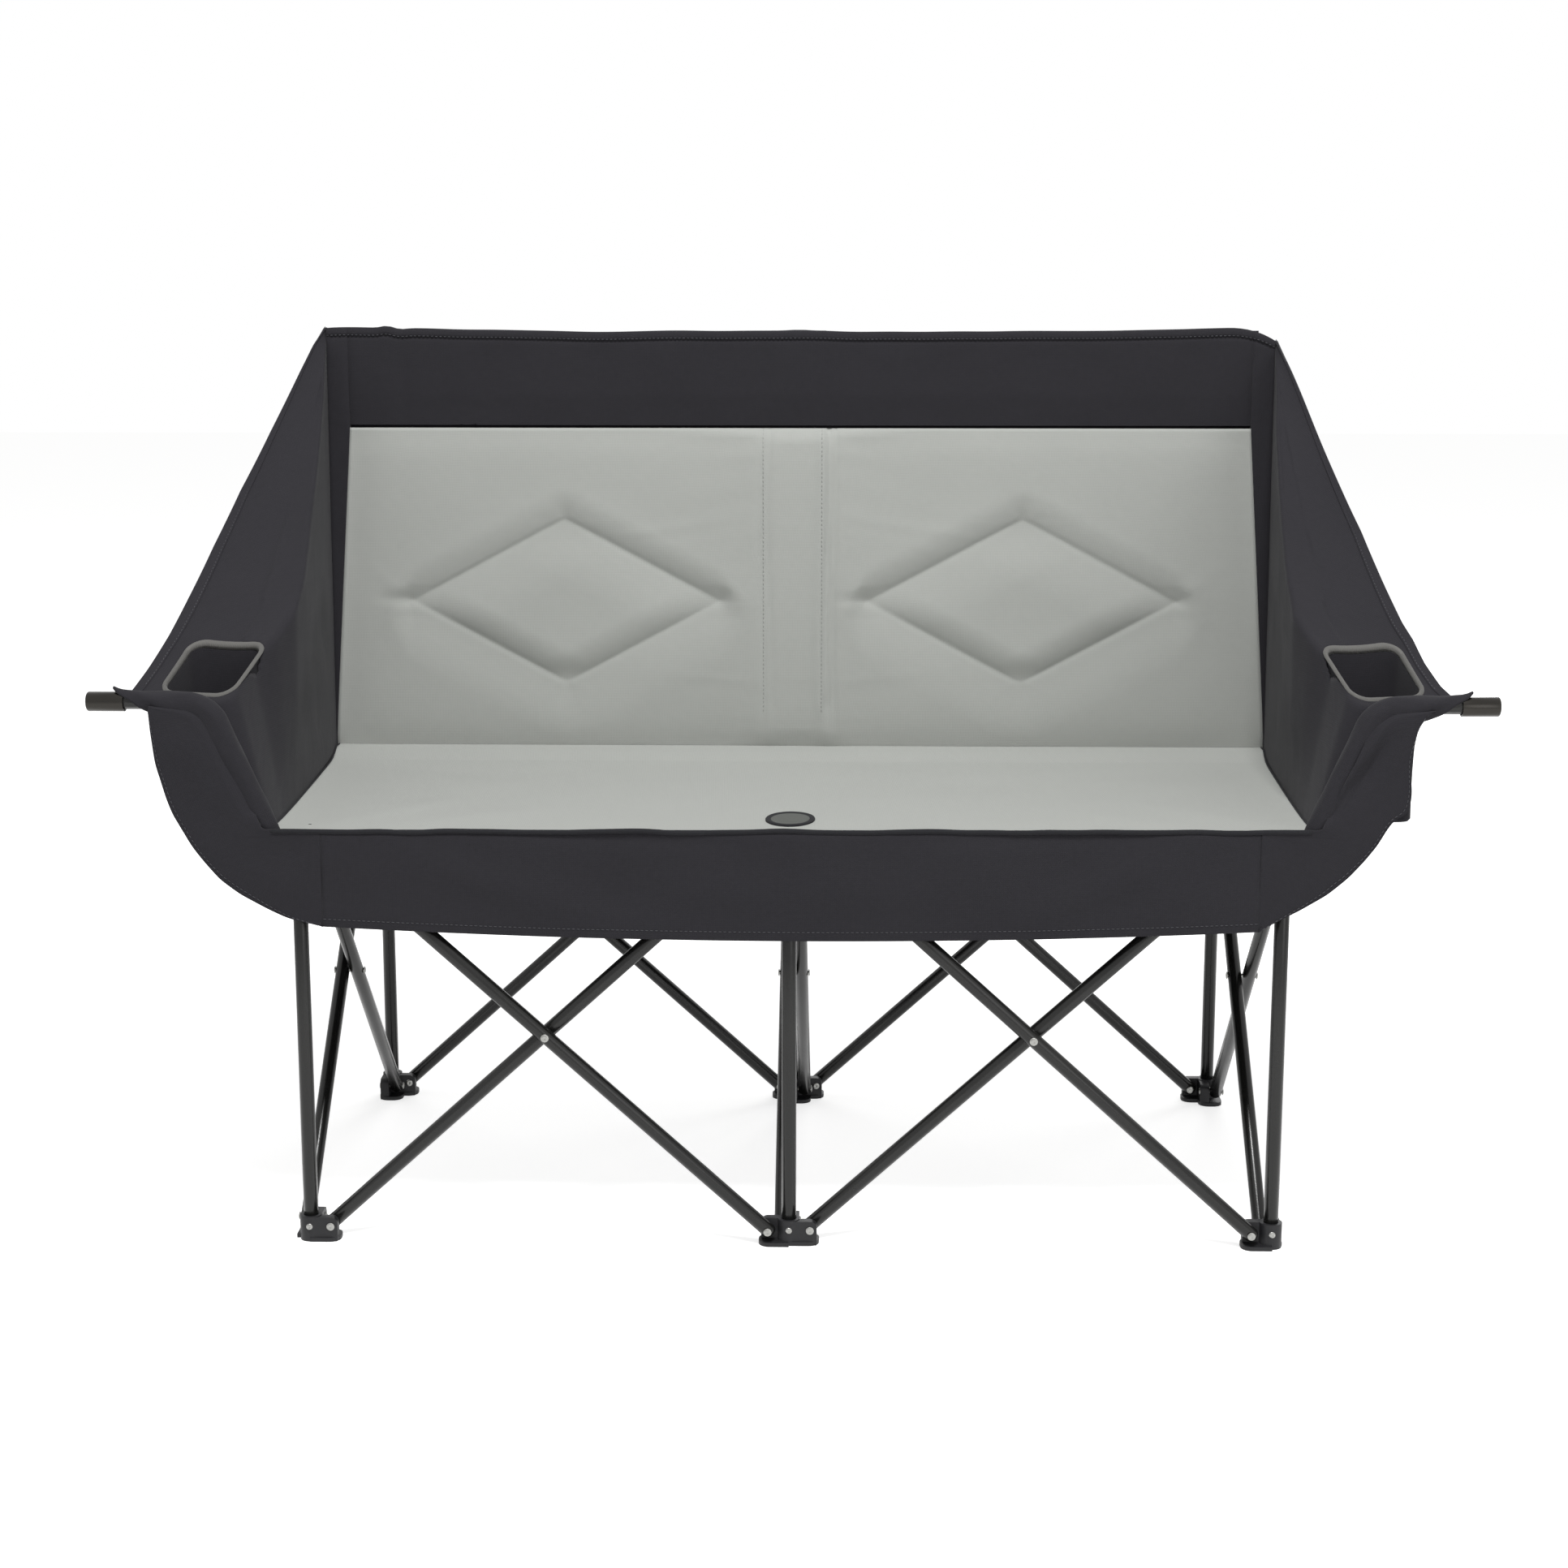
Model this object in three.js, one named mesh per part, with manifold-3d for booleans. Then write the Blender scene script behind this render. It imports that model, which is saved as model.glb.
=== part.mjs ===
import * as THREE from 'three';
import { mergeVertices } from 'three/addons/utils/BufferGeometryUtils.js';
import Module from 'manifold-3d';

// A folding camping loveseat. Six posts stand on a grid, three across and two deep, and
// every two neighbouring posts are joined by a pair of crossed bars. The seat, the back,
// the arms and the front are cloth. X runs to the sitter's left (the viewer's right),
// Y to the back, Z up, and the origin lies on the floor midway between the six posts.

// Grid of the frame
const bayWidth = 525;
const bayDepth = 525;
const pinInset = 23;
const footPinHeight = 17;
const hubPinHeight = 452;
const foldAngle = 40;

// Tubes and bars
const tubeRadius = 8;
const tubeWall = 1.2;
const tubeSides = 12;
const barSides = 10;
const boreSides = 6;
const crossGap = 1;
const barEndReach = 7.5;
const barEndInset = 4;
const barEndSlope = 5;
const barPlug = 12;
const postRoof = 2;
const postEdge = 1.5;

// Clearances and cutting overrun
const fitGap = 0.3;
const slideGap = 0.5;
const clothGap = 1;
const overrun = 5;
const weldDistance = 0.001;

// Rivets
const pinRadius = 2.4;
const pinHoleRadius = 3.1;
const pinSides = 6;
const rivetHeadRadius = 4.2;
const rivetHeadHeight = 1.2;
const rivetHeadSink = 0.2;

// Feet and hubs
const bossRadius = 11.5;
const bossRise = 1;
const plateOuter = 11;
const flangeInset = 1;
const footFloor = 4;
const footEnd = 10;
const hubRadius = 12.5;
const hubBelow = 20;
const hubEnd = 8;
const hubWeb = 16;
const hubRoof = 3;
const collarDrop = 1;
const rodGrip = 45;

// Arm tubes and their end caps
const armLean = 66;
const armForward = 8;
const armSocketRadius = 11;
const armSocketDrop = 22;
const armSocketSeat = 12;
const armSocketRise = 4;
const armTipHeight = 598;
const armBendRadius = 36;
const armCapOverhang = 217;
const armCapLength = 40;
const armCapRadius = 10.5;
const armCapRoof = 3;
const armCapEdge = 1.5;
const bendSteps = 4;

// Seat cloth
const seatFrontOverhang = 18.5;
const seatRearOverhang = 52;
const seatFrontReach = 20.2;
const seatRearReach = 36.5;
const seatTopFront = 468;
const seatTopRear = 459;
const seatThickness = 6.4;
const seatCrown = 7;
const seatWaist = 4;
const patchForward = 225;
const patchHalfWidth = 27;
const patchHalfDepth = 39;
const patchThickness = 1;
const patchLift = 0.5;

// Back cloth and its rear sleeves
const backFrontInset = 19.5;
const backThickness = 9.5;
const backBulge = 6;
const backBottom = 462;
const backTop = 980;
const backTopDip = 6;
const backOverhang = 57;
const backTopInset = 5;
const diamondOutset = 19.5;
const diamondCentreZ = 648;
const diamondHalfWidth = 187;
const diamondHalfHeight = 100;
const quiltWidth = 11;
const quiltDepth = 3.2;
const seamWidth = 3;
const seamDepth = 2;
const seamMargin = 26;
const centreSeam = 36;
const cornerSeamInset = 41;
const borderSeamOverhang = 22;
const sleeveHalfFront = 32;
const sleeveHalfRear = 10;
const sleeveDepth = 22;
const sleeveBottom = 466;
const sleeveTop = 975;
const sleeveRoof = 7;

// Arm cloths
const armClothThickness = 3;
const armRearClear = 1.5;
const armCreaseTop = 968;
const armHemTop = 978;
const creasePinch = 56;
const creaseSag = 36;
const hemSag = 33;
const panelDish = 9;
const seatEdgeGap = 3;
const seatEdgeDrop = 3;
const wrapThin = 12;
const wrapTall = 15.5;
const wrapStart = 8;

// Cup pockets and rims
const cupOverhang = 100;
const cupBackInset = 54.5;
const cupHalfWidth = 46;
const cupHalfDepth = 45;
const cupCorner = 20;
const rimWall = 3;
const rimRise = 2.5;
const rimDrop = 11.5;
const pocketWall = 3;
const pocketBottom = 468;
const pocketTaperShare = 0.9;

// Front cloth
const frontThickness = 3;
const frontStandoff = 20.5;
const skirtInset = 28;
const skirtTop = 468;
const skirtMiddleBottom = 345;
const flankBottom = 358;
const flankOverhang = 149;
const flankTop = 590;
const flankTubeGap = 12;

// Tables of shares, chosen by eye, of the sizes that they follow
const flankEdgeShares = [
  [0, 0], [0.21, 0.04], [0.33, 0.08], [0.49, 0.15], [0.61, 0.22], [0.7, 0.3], [0.77, 0.37],
  [0.825, 0.45], [0.88, 0.525], [0.915, 0.6], [0.945, 0.68], [0.97, 0.76], [0.985, 0.84],
  [0.995, 0.92], [1, 1],
];
const creasePinchShares = [
  [0, 0], [0.2, 0.36], [0.4, 0.66], [0.58, 0.9], [0.7, 1], [0.78, 0.82], [0.85, 0.54],
  [0.93, 0.5], [0.97, 0.48], [1, 0],
];
const armRowShares = [0, 0.1, 0.2, 0.32, 0.45, 0.58, 0.7, 0.78, 0.86, 0.93, 0.97, 1];
const wrapTallShares = [0, 0.45, 0.8, 1, 0.9, 0.75, 0.1];

// Colours
const tubeFinish = { color: 0x3b3a38, roughness: 0.42, metalness: 0.75 };
const plasticFinish = { color: 0x232325, roughness: 0.55, metalness: 0 };
const rivetFinish = { color: 0xc4c4c2, roughness: 0.3, metalness: 1 };
const capFinish = { color: 0x4a4a49, roughness: 0.28, metalness: 0.6 };
const padFinish = { color: 0x9b9d9a, roughness: 0.85, metalness: 0 };
const darkClothFinish = { color: 0x313135, roughness: 0.9, metalness: 0 };
const rimFinish = { color: 0x8a8a88, roughness: 0.8, metalness: 0 };
const patchFinish = { color: 0x6c6e6b, roughness: 0.7, metalness: 0 };

// Sizes worked out from the ones above
const layerOffset = tubeRadius + crossGap / 2;
const plateFace = crossGap / 2 - fitGap;
const barFarSide = layerOffset + tubeRadius;
const rivetEnd = barFarSide + fitGap + rivetHeadHeight;
const footHeight = footPinHeight + footEnd;
const barRise = hubPinHeight - footPinHeight;
const rowRear = bayDepth / 2;
const rowFront = -rowRear;
const spanAcross = bayWidth - 2 * pinInset;
const spanDeep = bayDepth - 2 * pinInset;
const pinSpacing = Math.hypot(spanAcross, barRise);
const restAngle = Math.atan2(spanAcross, barRise);
const foldRise = pinSpacing * Math.cos(restAngle - THREE.MathUtils.degToRad(foldAngle)) - barRise;
const tubeBore = tubeRadius - tubeWall;
const rodRadius = tubeBore - slideGap;
const postBottom = footFloor + fitGap;
const frontPostTop = hubPinHeight - hubBelow - fitGap;
const rodTop = hubPinHeight + hubEnd - hubRoof - fitGap;
const rodBottom = frontPostTop - foldRise - rodGrip;
const rearPostTop = sleeveTop - sleeveRoof - fitGap;
const lean = THREE.MathUtils.degToRad(armLean);
const seatFrontHalf = bayWidth + seatFrontOverhang;
const seatRearHalf = bayWidth + seatRearOverhang;
const seatUnderFront = seatTopFront - seatThickness;
const armAxisAtSeat = seatFrontHalf + clothGap + tubeRadius / Math.sin(lean);
const armY = rowFront - armForward;
const frontFace = rowFront - frontStandoff;
const seatFrontY = rowFront - seatFrontReach;
const seatRearY = rowRear - seatRearReach;
const backFrontY = rowRear - backFrontInset;
const backRearY = backFrontY + backThickness;
const backHalfBottom = bayWidth + backOverhang;
const backHalfTop = backHalfBottom - backTopInset;
const diamondCentreX = bayWidth / 2 + diamondOutset;
const cornerSeam = bayWidth - cornerSeamInset;
const borderSeam = bayWidth + borderSeamOverhang;
const armCapEnd = bayWidth + armCapOverhang;
const armRearHalf = backHalfTop + armRearClear;
const armRearY = backFrontY - fitGap;
const cupCentreX = bayWidth + cupOverhang;
const cupCentreY = rowFront + cupBackInset;
const skirtHalf = bayWidth - skirtInset;
const flankOuter = bayWidth + flankOverhang;

// Lengthwise helper directions
const alongX = new THREE.Vector3(1, 0, 0);
const alongY = new THREE.Vector3(0, 1, 0);
const alongZ = new THREE.Vector3(0, 0, 1);

const wasm = await Module();
wasm.setup();

// A closed three.js geometry as a solid for cutting and joining
function solid(geometry) {
  const bare = geometry.clone();
  for (const name of Object.keys(bare.attributes)) {
    if (name !== 'position') {
      bare.deleteAttribute(name);
    }
  }
  const welded = mergeVertices(bare, weldDistance);
  const position = welded.getAttribute('position');
  const corner = (i) => new THREE.Vector3().fromBufferAttribute(position, i);
  const faces = [];
  let volume = 0;
  for (let i = 0; i < welded.index.count; i += 3) {
    const face = [0, 1, 2].map((k) => welded.index.getX(i + k));
    if (new Set(face).size === face.length) {
      faces.push(face);
      volume += corner(face[0]).dot(corner(face[1]).cross(corner(face[2])));
    }
  }
  const outward = volume < 0 ? faces.map(([a, b, c]) => [a, c, b]) : faces;
  return new wasm.Manifold(new wasm.Mesh({
    numProp: 3,
    vertProperties: new Float32Array(position.array),
    triVerts: new Uint32Array(outward.flat()),
  }));
}

function joined(...geometries) {
  return geometries.map(solid).reduce((whole, next) => whole.add(next));
}

function without(whole, ...geometries) {
  return geometries.map(solid).reduce((rest, next) => rest.subtract(next), whole);
}

function geometryOf(manifold) {
  const cut = manifold.getMesh();
  const geometry = new THREE.BufferGeometry();
  geometry.setAttribute('position', new THREE.BufferAttribute(cut.vertProperties, 3));
  geometry.setIndex(new THREE.BufferAttribute(cut.triVerts, 1));
  geometry.computeVertexNormals();
  return geometry;
}

// A profile of [radius, place] pairs turned about an axis through a point
function turned(profile, sides, axis, centre = [0, 0, 0]) {
  const points = profile.map(([radius, place]) => new THREE.Vector2(radius, place));
  const geometry = new THREE.LatheGeometry(points, sides);
  if (axis === 'z') {
    geometry.rotateX(Math.PI / 2);
  }
  if (axis === 'x') {
    geometry.rotateZ(-Math.PI / 2);
  }
  return geometry.translate(...centre);
}

function cylinder(radius, from, to, sides, axis, centre) {
  return turned([[0, from], [radius, from], [radius, to], [0, to]], sides, axis, centre);
}

// An outline pushed along an axis from one plane to another
function prism(outline, axis, one, other) {
  const [from, to] = [Math.min(one, other), Math.max(one, other)];
  const shape = new THREE.Shape(outline.map(([u, v]) => new THREE.Vector2(u, v)));
  const geometry = new THREE.ExtrudeGeometry(shape, { depth: to - from, bevelEnabled: false });
  geometry.translate(0, 0, from);
  const bases = { x: [alongY, alongZ, alongX], y: [alongX, alongZ, alongY], z: [alongX, alongY, alongZ] };
  return geometry.applyMatrix4(new THREE.Matrix4().makeBasis(...bases[axis]));
}

function box(x, y, z) {
  const outline = [[x[0], y[0]], [x[1], y[0]], [x[1], y[1]], [x[0], y[1]]];
  return prism(outline, 'z', z[0], z[1]);
}

// Rings of equal point counts joined into one closed skin
function loft(rings, endless = false) {
  const count = rings[0].length;
  const points = rings.flat();
  const faces = [];
  const bands = endless ? rings.length : rings.length - 1;
  for (let i = 0; i < bands; i += 1) {
    const next = (i + 1) % rings.length;
    for (let k = 0; k < count; k += 1) {
      const turn = (k + 1) % count;
      const [a, b] = [i * count + k, i * count + turn];
      const [c, d] = [next * count + k, next * count + turn];
      faces.push([a, b, d], [a, d, c]);
    }
  }
  if (!endless) {
    for (const [ring, flip] of [[0, true], [rings.length - 1, false]]) {
      const middle = new THREE.Vector3();
      rings[ring].forEach((point) => middle.add(point));
      const hub = points.push(middle.divideScalar(count)) - 1;
      for (let k = 0; k < count; k += 1) {
        const [a, b] = [ring * count + k, ring * count + ((k + 1) % count)];
        faces.push(flip ? [hub, b, a] : [hub, a, b]);
      }
    }
  }
  const geometry = new THREE.BufferGeometry().setFromPoints(points);
  geometry.setIndex(faces.flat());
  return geometry;
}

// Two surfaces over the same grid joined into one closed skin
function slab(us, vs, near, far) {
  const rim = [];
  const last = [us.length - 1, vs.length - 1];
  const place = (i, j) => i * vs.length + j;
  const offset = us.length * vs.length;
  const points = [near, far].flatMap((surface) => us.flatMap((u) => vs.map((v) => surface(u, v))));
  const faces = [];
  for (let i = 0; i < last[0]; i += 1) {
    for (let j = 0; j < last[1]; j += 1) {
      const [a, b, c, d] = [place(i, j), place(i + 1, j), place(i + 1, j + 1), place(i, j + 1)];
      faces.push([a, b, c], [a, c, d]);
      faces.push([offset + a, offset + c, offset + b], [offset + a, offset + d, offset + c]);
    }
  }
  for (let i = 0; i < last[0]; i += 1) {
    rim.push([place(i, 0), place(i + 1, 0)], [place(i + 1, last[1]), place(i, last[1])]);
  }
  for (let j = 0; j < last[1]; j += 1) {
    rim.push([place(0, j + 1), place(0, j)], [place(last[0], j), place(last[0], j + 1)]);
  }
  for (const [a, b] of rim) {
    faces.push([a, offset + a, offset + b], [a, offset + b, b]);
  }
  const geometry = new THREE.BufferGeometry().setFromPoints(points);
  geometry.setIndex(faces.flat());
  return geometry;
}

// A polygon drawn round a circle clears it by the gap at the middle of each side too
function roomFor(radius, gap, sides) {
  return (radius + gap) / Math.cos(Math.PI / sides);
}

function between(a, b, share) {
  return a + (b - a) * share;
}

function fromTable(table, share) {
  const next = Math.max(1, table.findIndex(([at]) => at >= share));
  const [[a, one], [b, other]] = [table[next - 1], table[next]];
  return between(one, other, (share - a) / (b - a));
}

function steps(count) {
  return Array.from({ length: count + 1 }, (_, i) => i / count);
}

// Steps that crowd towards both ends
function edgedSteps(count) {
  return steps(count).map((t) => between(t, (1 - Math.cos(Math.PI * t)) / 2, 0.8));
}

function domed(t) {
  return 1 - (2 * t - 1) ** 4;
}

// A rivet pin with a head at both ends
function pin(axis, centre, one, other) {
  const [from, to] = [Math.min(one, other), Math.max(one, other)];
  const profile = [
    [0, from],
    [rivetHeadRadius, from],
    [rivetHeadRadius, from + rivetHeadHeight],
    [pinRadius, from + rivetHeadHeight],
    [pinRadius, to - rivetHeadHeight],
    [rivetHeadRadius, to - rivetHeadHeight],
    [rivetHeadRadius, to],
    [0, to],
  ];
  return turned(profile, pinSides, axis, centre);
}

// Bars: tubes with solid rounded ends, three pin holes and a bore that the middle hole opens
function barGeometry(spacing) {
  const half = spacing / 2 + barEndReach;
  const boreHalf = spacing / 2 - barPlug;
  const outer = turned([
    [0, -half],
    [tubeRadius - barEndInset, -half],
    [tubeRadius, barEndSlope - half],
    [tubeRadius, half - barEndSlope],
    [tubeRadius - barEndInset, half],
    [0, half],
  ], barSides, 'z');
  const through = tubeRadius + overrun;
  const holes = [-spacing / 2, 0, spacing / 2].map((z) => (
    cylinder(pinHoleRadius, -through, through, pinSides, 'y', [0, 0, z])));
  const bore = cylinder(tubeBore, -boreHalf, boreHalf, boreSides, 'z');
  return geometryOf(without(solid(outer), bore, ...holes));
}

// The side plate that carries one bar at a post, on the side of the row that the bar leaves free
function plate(arm, outline, near, far) {
  const turnedOutline = outline.map(([u, z]) => [arm.toward * u, z]);
  return prism(turnedOutline, arm.axis === 'x' ? 'y' : 'x', arm.layer * near, arm.layer * far);
}

function armPin(arm, height) {
  const centre = arm.axis === 'x' ? [arm.toward * pinInset, 0, height] : [0, arm.toward * pinInset, height];
  const outerHead = -arm.layer * (plateOuter + rivetHeadHeight - rivetHeadSink);
  return pin(arm.axis === 'x' ? 'y' : 'x', centre, outerHead, arm.layer * rivetEnd);
}

const diagonal = Math.SQRT1_2;
const footOutline = [
  [0, 0],
  [pinInset + footEnd, 0],
  [pinInset + footEnd, footPinHeight],
  [pinInset + diagonal * footEnd, footPinHeight + diagonal * footEnd],
  [pinInset, footHeight],
  [0, footHeight],
];
const hubOutline = [
  [0, hubEnd],
  [pinInset, hubEnd],
  [pinInset + diagonal * hubEnd, diagonal * hubEnd],
  [pinInset + hubEnd, 0],
  [pinInset + diagonal * hubEnd, -diagonal * hubEnd],
  [pinInset, -hubEnd],
  [0, -hubWeb],
];
const flangeEnd = pinInset + footEnd - flangeInset;
const flangeOutline = [[0, 0], [flangeEnd, 0], [flangeEnd, footFloor], [0, footFloor]];

// Foot: a boss round the post, a plate and a floor flange for each bar, and the pins
function footGeometry(arms) {
  const plates = arms.map((arm) => plate(arm, footOutline, plateFace, -plateOuter));
  const flanges = arms.map((arm) => plate(arm, flangeOutline, barFarSide, -plateOuter / 2));
  const bossTop = footHeight + bossRise;
  const boss = cylinder(bossRadius, 0, bossTop, tubeSides, 'z');
  const bore = cylinder(roomFor(tubeRadius, fitGap, tubeSides), footFloor, bossTop + overrun, tubeSides, 'z');
  const body = without(joined(boss, ...plates, ...flanges), bore);
  const postPinEnd = bossRadius + rivetHeadHeight - rivetHeadSink;
  const postPin = pin('y', [0, 0, footPinHeight], -postPinEnd, postPinEnd);
  const pins = arms.map((arm) => armPin(arm, footPinHeight));
  return geometryOf([postPin, ...pins].map(solid).reduce((whole, next) => whole.add(next), body));
}

// Where the arm tube's axis runs at a height above the floor, as a distance from the middle
function armAxis(height) {
  return armAxisAtSeat + (height - seatUnderFront) / Math.tan(lean);
}

// Arm tube stations from a start height to an end distance: place and slope
function armStations(startHeight, endReach) {
  const bendStart = armTipHeight - armBendRadius * (1 - Math.cos(lean));
  const bendX = armAxis(bendStart);
  const arc = steps(bendSteps).map((share) => {
    const slope = lean * (1 - share);
    return {
      x: bendX + armBendRadius * (Math.sin(lean) - Math.sin(slope)),
      z: bendStart + armBendRadius * (Math.cos(slope) - Math.cos(lean)),
      slope,
    };
  });
  const start = { x: armAxis(startHeight), z: startHeight, slope: lean };
  return [start, ...arc, { x: endReach, z: armTipHeight, slope: 0 }];
}

function armRings(side, stations, thin, talls, sides) {
  return stations.map(({ x, z, slope }, i) => steps(sides).slice(0, -1).map((share) => {
    const turn = 2 * Math.PI * share;
    const lift = talls[i] * Math.sin(turn);
    return new THREE.Vector3(
      side * (x - lift * Math.sin(slope)),
      armY + thin * Math.cos(turn),
      z + lift * Math.cos(slope),
    );
  }));
}

const armSeatHeight = hubPinHeight - armSocketSeat;
const armTubeStations = armStations(armSeatHeight + fitGap, armCapEnd - armCapRoof - fitGap);
const roundTalls = (radius) => armTubeStations.map(() => radius);

function armTubeGeometry(side) {
  const outer = armRings(side, armTubeStations, tubeRadius, roundTalls(tubeRadius), barSides);
  const inner = armRings(side, armTubeStations, tubeBore, roundTalls(tubeBore), barSides);
  return geometryOf(solid(loft([...outer, ...inner.reverse()], true)));
}

function armCapGeometry(side) {
  const mouth = armCapEnd - armCapLength;
  const bore = roomFor(tubeRadius, fitGap, tubeSides);
  const floor = armCapEnd - armCapRoof;
  const profile = [
    [bore, mouth],
    [armCapRadius, mouth],
    [armCapRadius, armCapEnd - armCapEdge],
    [armCapRadius - armCapEdge, armCapEnd],
    [0, armCapEnd],
    [0, floor],
    [bore, floor],
    [bore, mouth],
  ].map(([radius, place]) => [radius, side * place]);
  return geometryOf(solid(turned(profile, tubeSides, 'x', [0, armY, armTipHeight])));
}

// Hub: a collar round the post, a plate for each bar and the pins; a corner hub at the
// front also holds the arm tube in a slanted socket, and a front hub caps its rod
function hubGeometry(arms, front, side) {
  const plates = arms.map((arm) => plate(arm, hubOutline, plateFace, -plateOuter));
  const parts = [cylinder(hubRadius, -hubBelow, hubEnd - collarDrop, tubeSides, 'z'), ...plates];
  const cuts = [];
  if (front) {
    const rodRoom = roomFor(rodRadius, fitGap, barSides);
    cuts.push(cylinder(rodRoom, -hubBelow - overrun, hubEnd - hubRoof, barSides, 'z'));
  } else {
    const postRoom = roomFor(tubeRadius, slideGap, tubeSides);
    cuts.push(cylinder(postRoom, -hubBelow - overrun, hubEnd + overrun, tubeSides, 'z'));
  }
  if (front && side !== 0) {
    const socketPoint = (height) => new THREE.Vector3(
      side * (armAxis(hubPinHeight + height) - bayWidth), -armForward, height);
    const ring = (height, radius) => steps(barSides).slice(0, -1).map((share) => {
      const turn = 2 * Math.PI * share;
      const across = new THREE.Vector3(-side * Math.sin(lean), 0, Math.cos(lean));
      return socketPoint(height)
        .addScaledVector(alongY, radius * Math.cos(turn))
        .addScaledVector(across, radius * Math.sin(turn));
    });
    const armRoom = roomFor(tubeRadius, fitGap, barSides);
    parts.push(loft([ring(-armSocketDrop, armSocketRadius), ring(armSocketRise, armSocketRadius)]));
    cuts.push(loft([ring(-armSocketSeat, armRoom), ring(armSocketRise + overrun, armRoom)]));
  }
  const body = without(joined(...parts), ...cuts);
  return geometryOf(arms.map((arm) => solid(armPin(arm, 0))).reduce((whole, next) => whole.add(next), body));
}

// Posts: the rear ones reach the top of the back, the front ones end under their hub
function rearPostGeometry() {
  const tube = turned([
    [tubeBore, postBottom],
    [tubeRadius, postBottom],
    [tubeRadius, rearPostTop - postEdge],
    [tubeRadius - postEdge, rearPostTop],
    [0, rearPostTop],
    [0, rearPostTop - postRoof],
    [tubeBore, rearPostTop - postRoof],
    [tubeBore, postBottom],
  ], tubeSides, 'z');
  return geometryOf(without(solid(tube), postPinHole()));
}

function frontPostGeometry() {
  const tube = turned([
    [tubeBore, postBottom],
    [tubeRadius, postBottom],
    [tubeRadius, frontPostTop],
    [tubeBore, frontPostTop],
    [tubeBore, postBottom],
  ], tubeSides, 'z');
  return geometryOf(without(solid(tube), postPinHole()));
}

function postPinHole() {
  const through = tubeRadius + overrun;
  return cylinder(pinHoleRadius, -through, through, pinSides, 'y', [0, 0, footPinHeight]);
}

function rodGeometry() {
  return geometryOf(solid(turned([
    [0, rodBottom],
    [rodRadius - postEdge, rodBottom],
    [rodRadius, rodBottom + postEdge],
    [rodRadius, rodTop],
    [0, rodTop],
  ], barSides, 'z')));
}

// Seat cloth: a thin pad with a crown, drawn in a little at its sides
function seatEdges(y) {
  const share = (y - seatFrontY) / (seatRearY - seatFrontY);
  const waist = seatWaist * domed(Math.min(Math.max(share, 0), 1));
  return {
    half: between(seatFrontHalf, seatRearHalf, share) - waist,
    top: between(seatTopFront, seatTopRear, share),
    share,
  };
}

function seatTopAt(x, y) {
  const { half, top, share } = seatEdges(y);
  return top + seatCrown * domed((x / half + 1) / 2) * domed(share);
}

function seatGeometry() {
  const place = (u, v, lower) => {
    const y = between(seatFrontY, seatRearY, v);
    const { half, top } = seatEdges(y);
    const x = between(-half, half, u);
    return new THREE.Vector3(x, y, lower ? top - seatThickness : seatTopAt(x, y));
  };
  const skin = slab(edgedSteps(14), edgedSteps(10), (u, v) => place(u, v, false), (u, v) => place(u, v, true));
  return geometryOf(solid(skin));
}

// Bare oval patch lying on the front of the seat
function patchGeometry() {
  const ring = (scale, lift) => steps(20).slice(0, -1).map((share) => {
    const x = scale * patchHalfWidth * Math.cos(2 * Math.PI * share);
    const y = -patchForward + scale * patchHalfDepth * Math.sin(2 * Math.PI * share);
    return new THREE.Vector3(x, y, seatTopAt(x, y) + lift);
  });
  const upper = patchLift + patchThickness;
  return geometryOf(solid(loft([ring(0.5, patchLift), ring(1, patchLift), ring(1, upper), ring(0.5, upper)])));
}

// Back cloth: a pad with two sewn diamonds and seams, and three sleeves for the rear posts
function backFaceAt(u, v) {
  return backFrontY - backBulge * domed(u) * domed(v);
}

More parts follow.
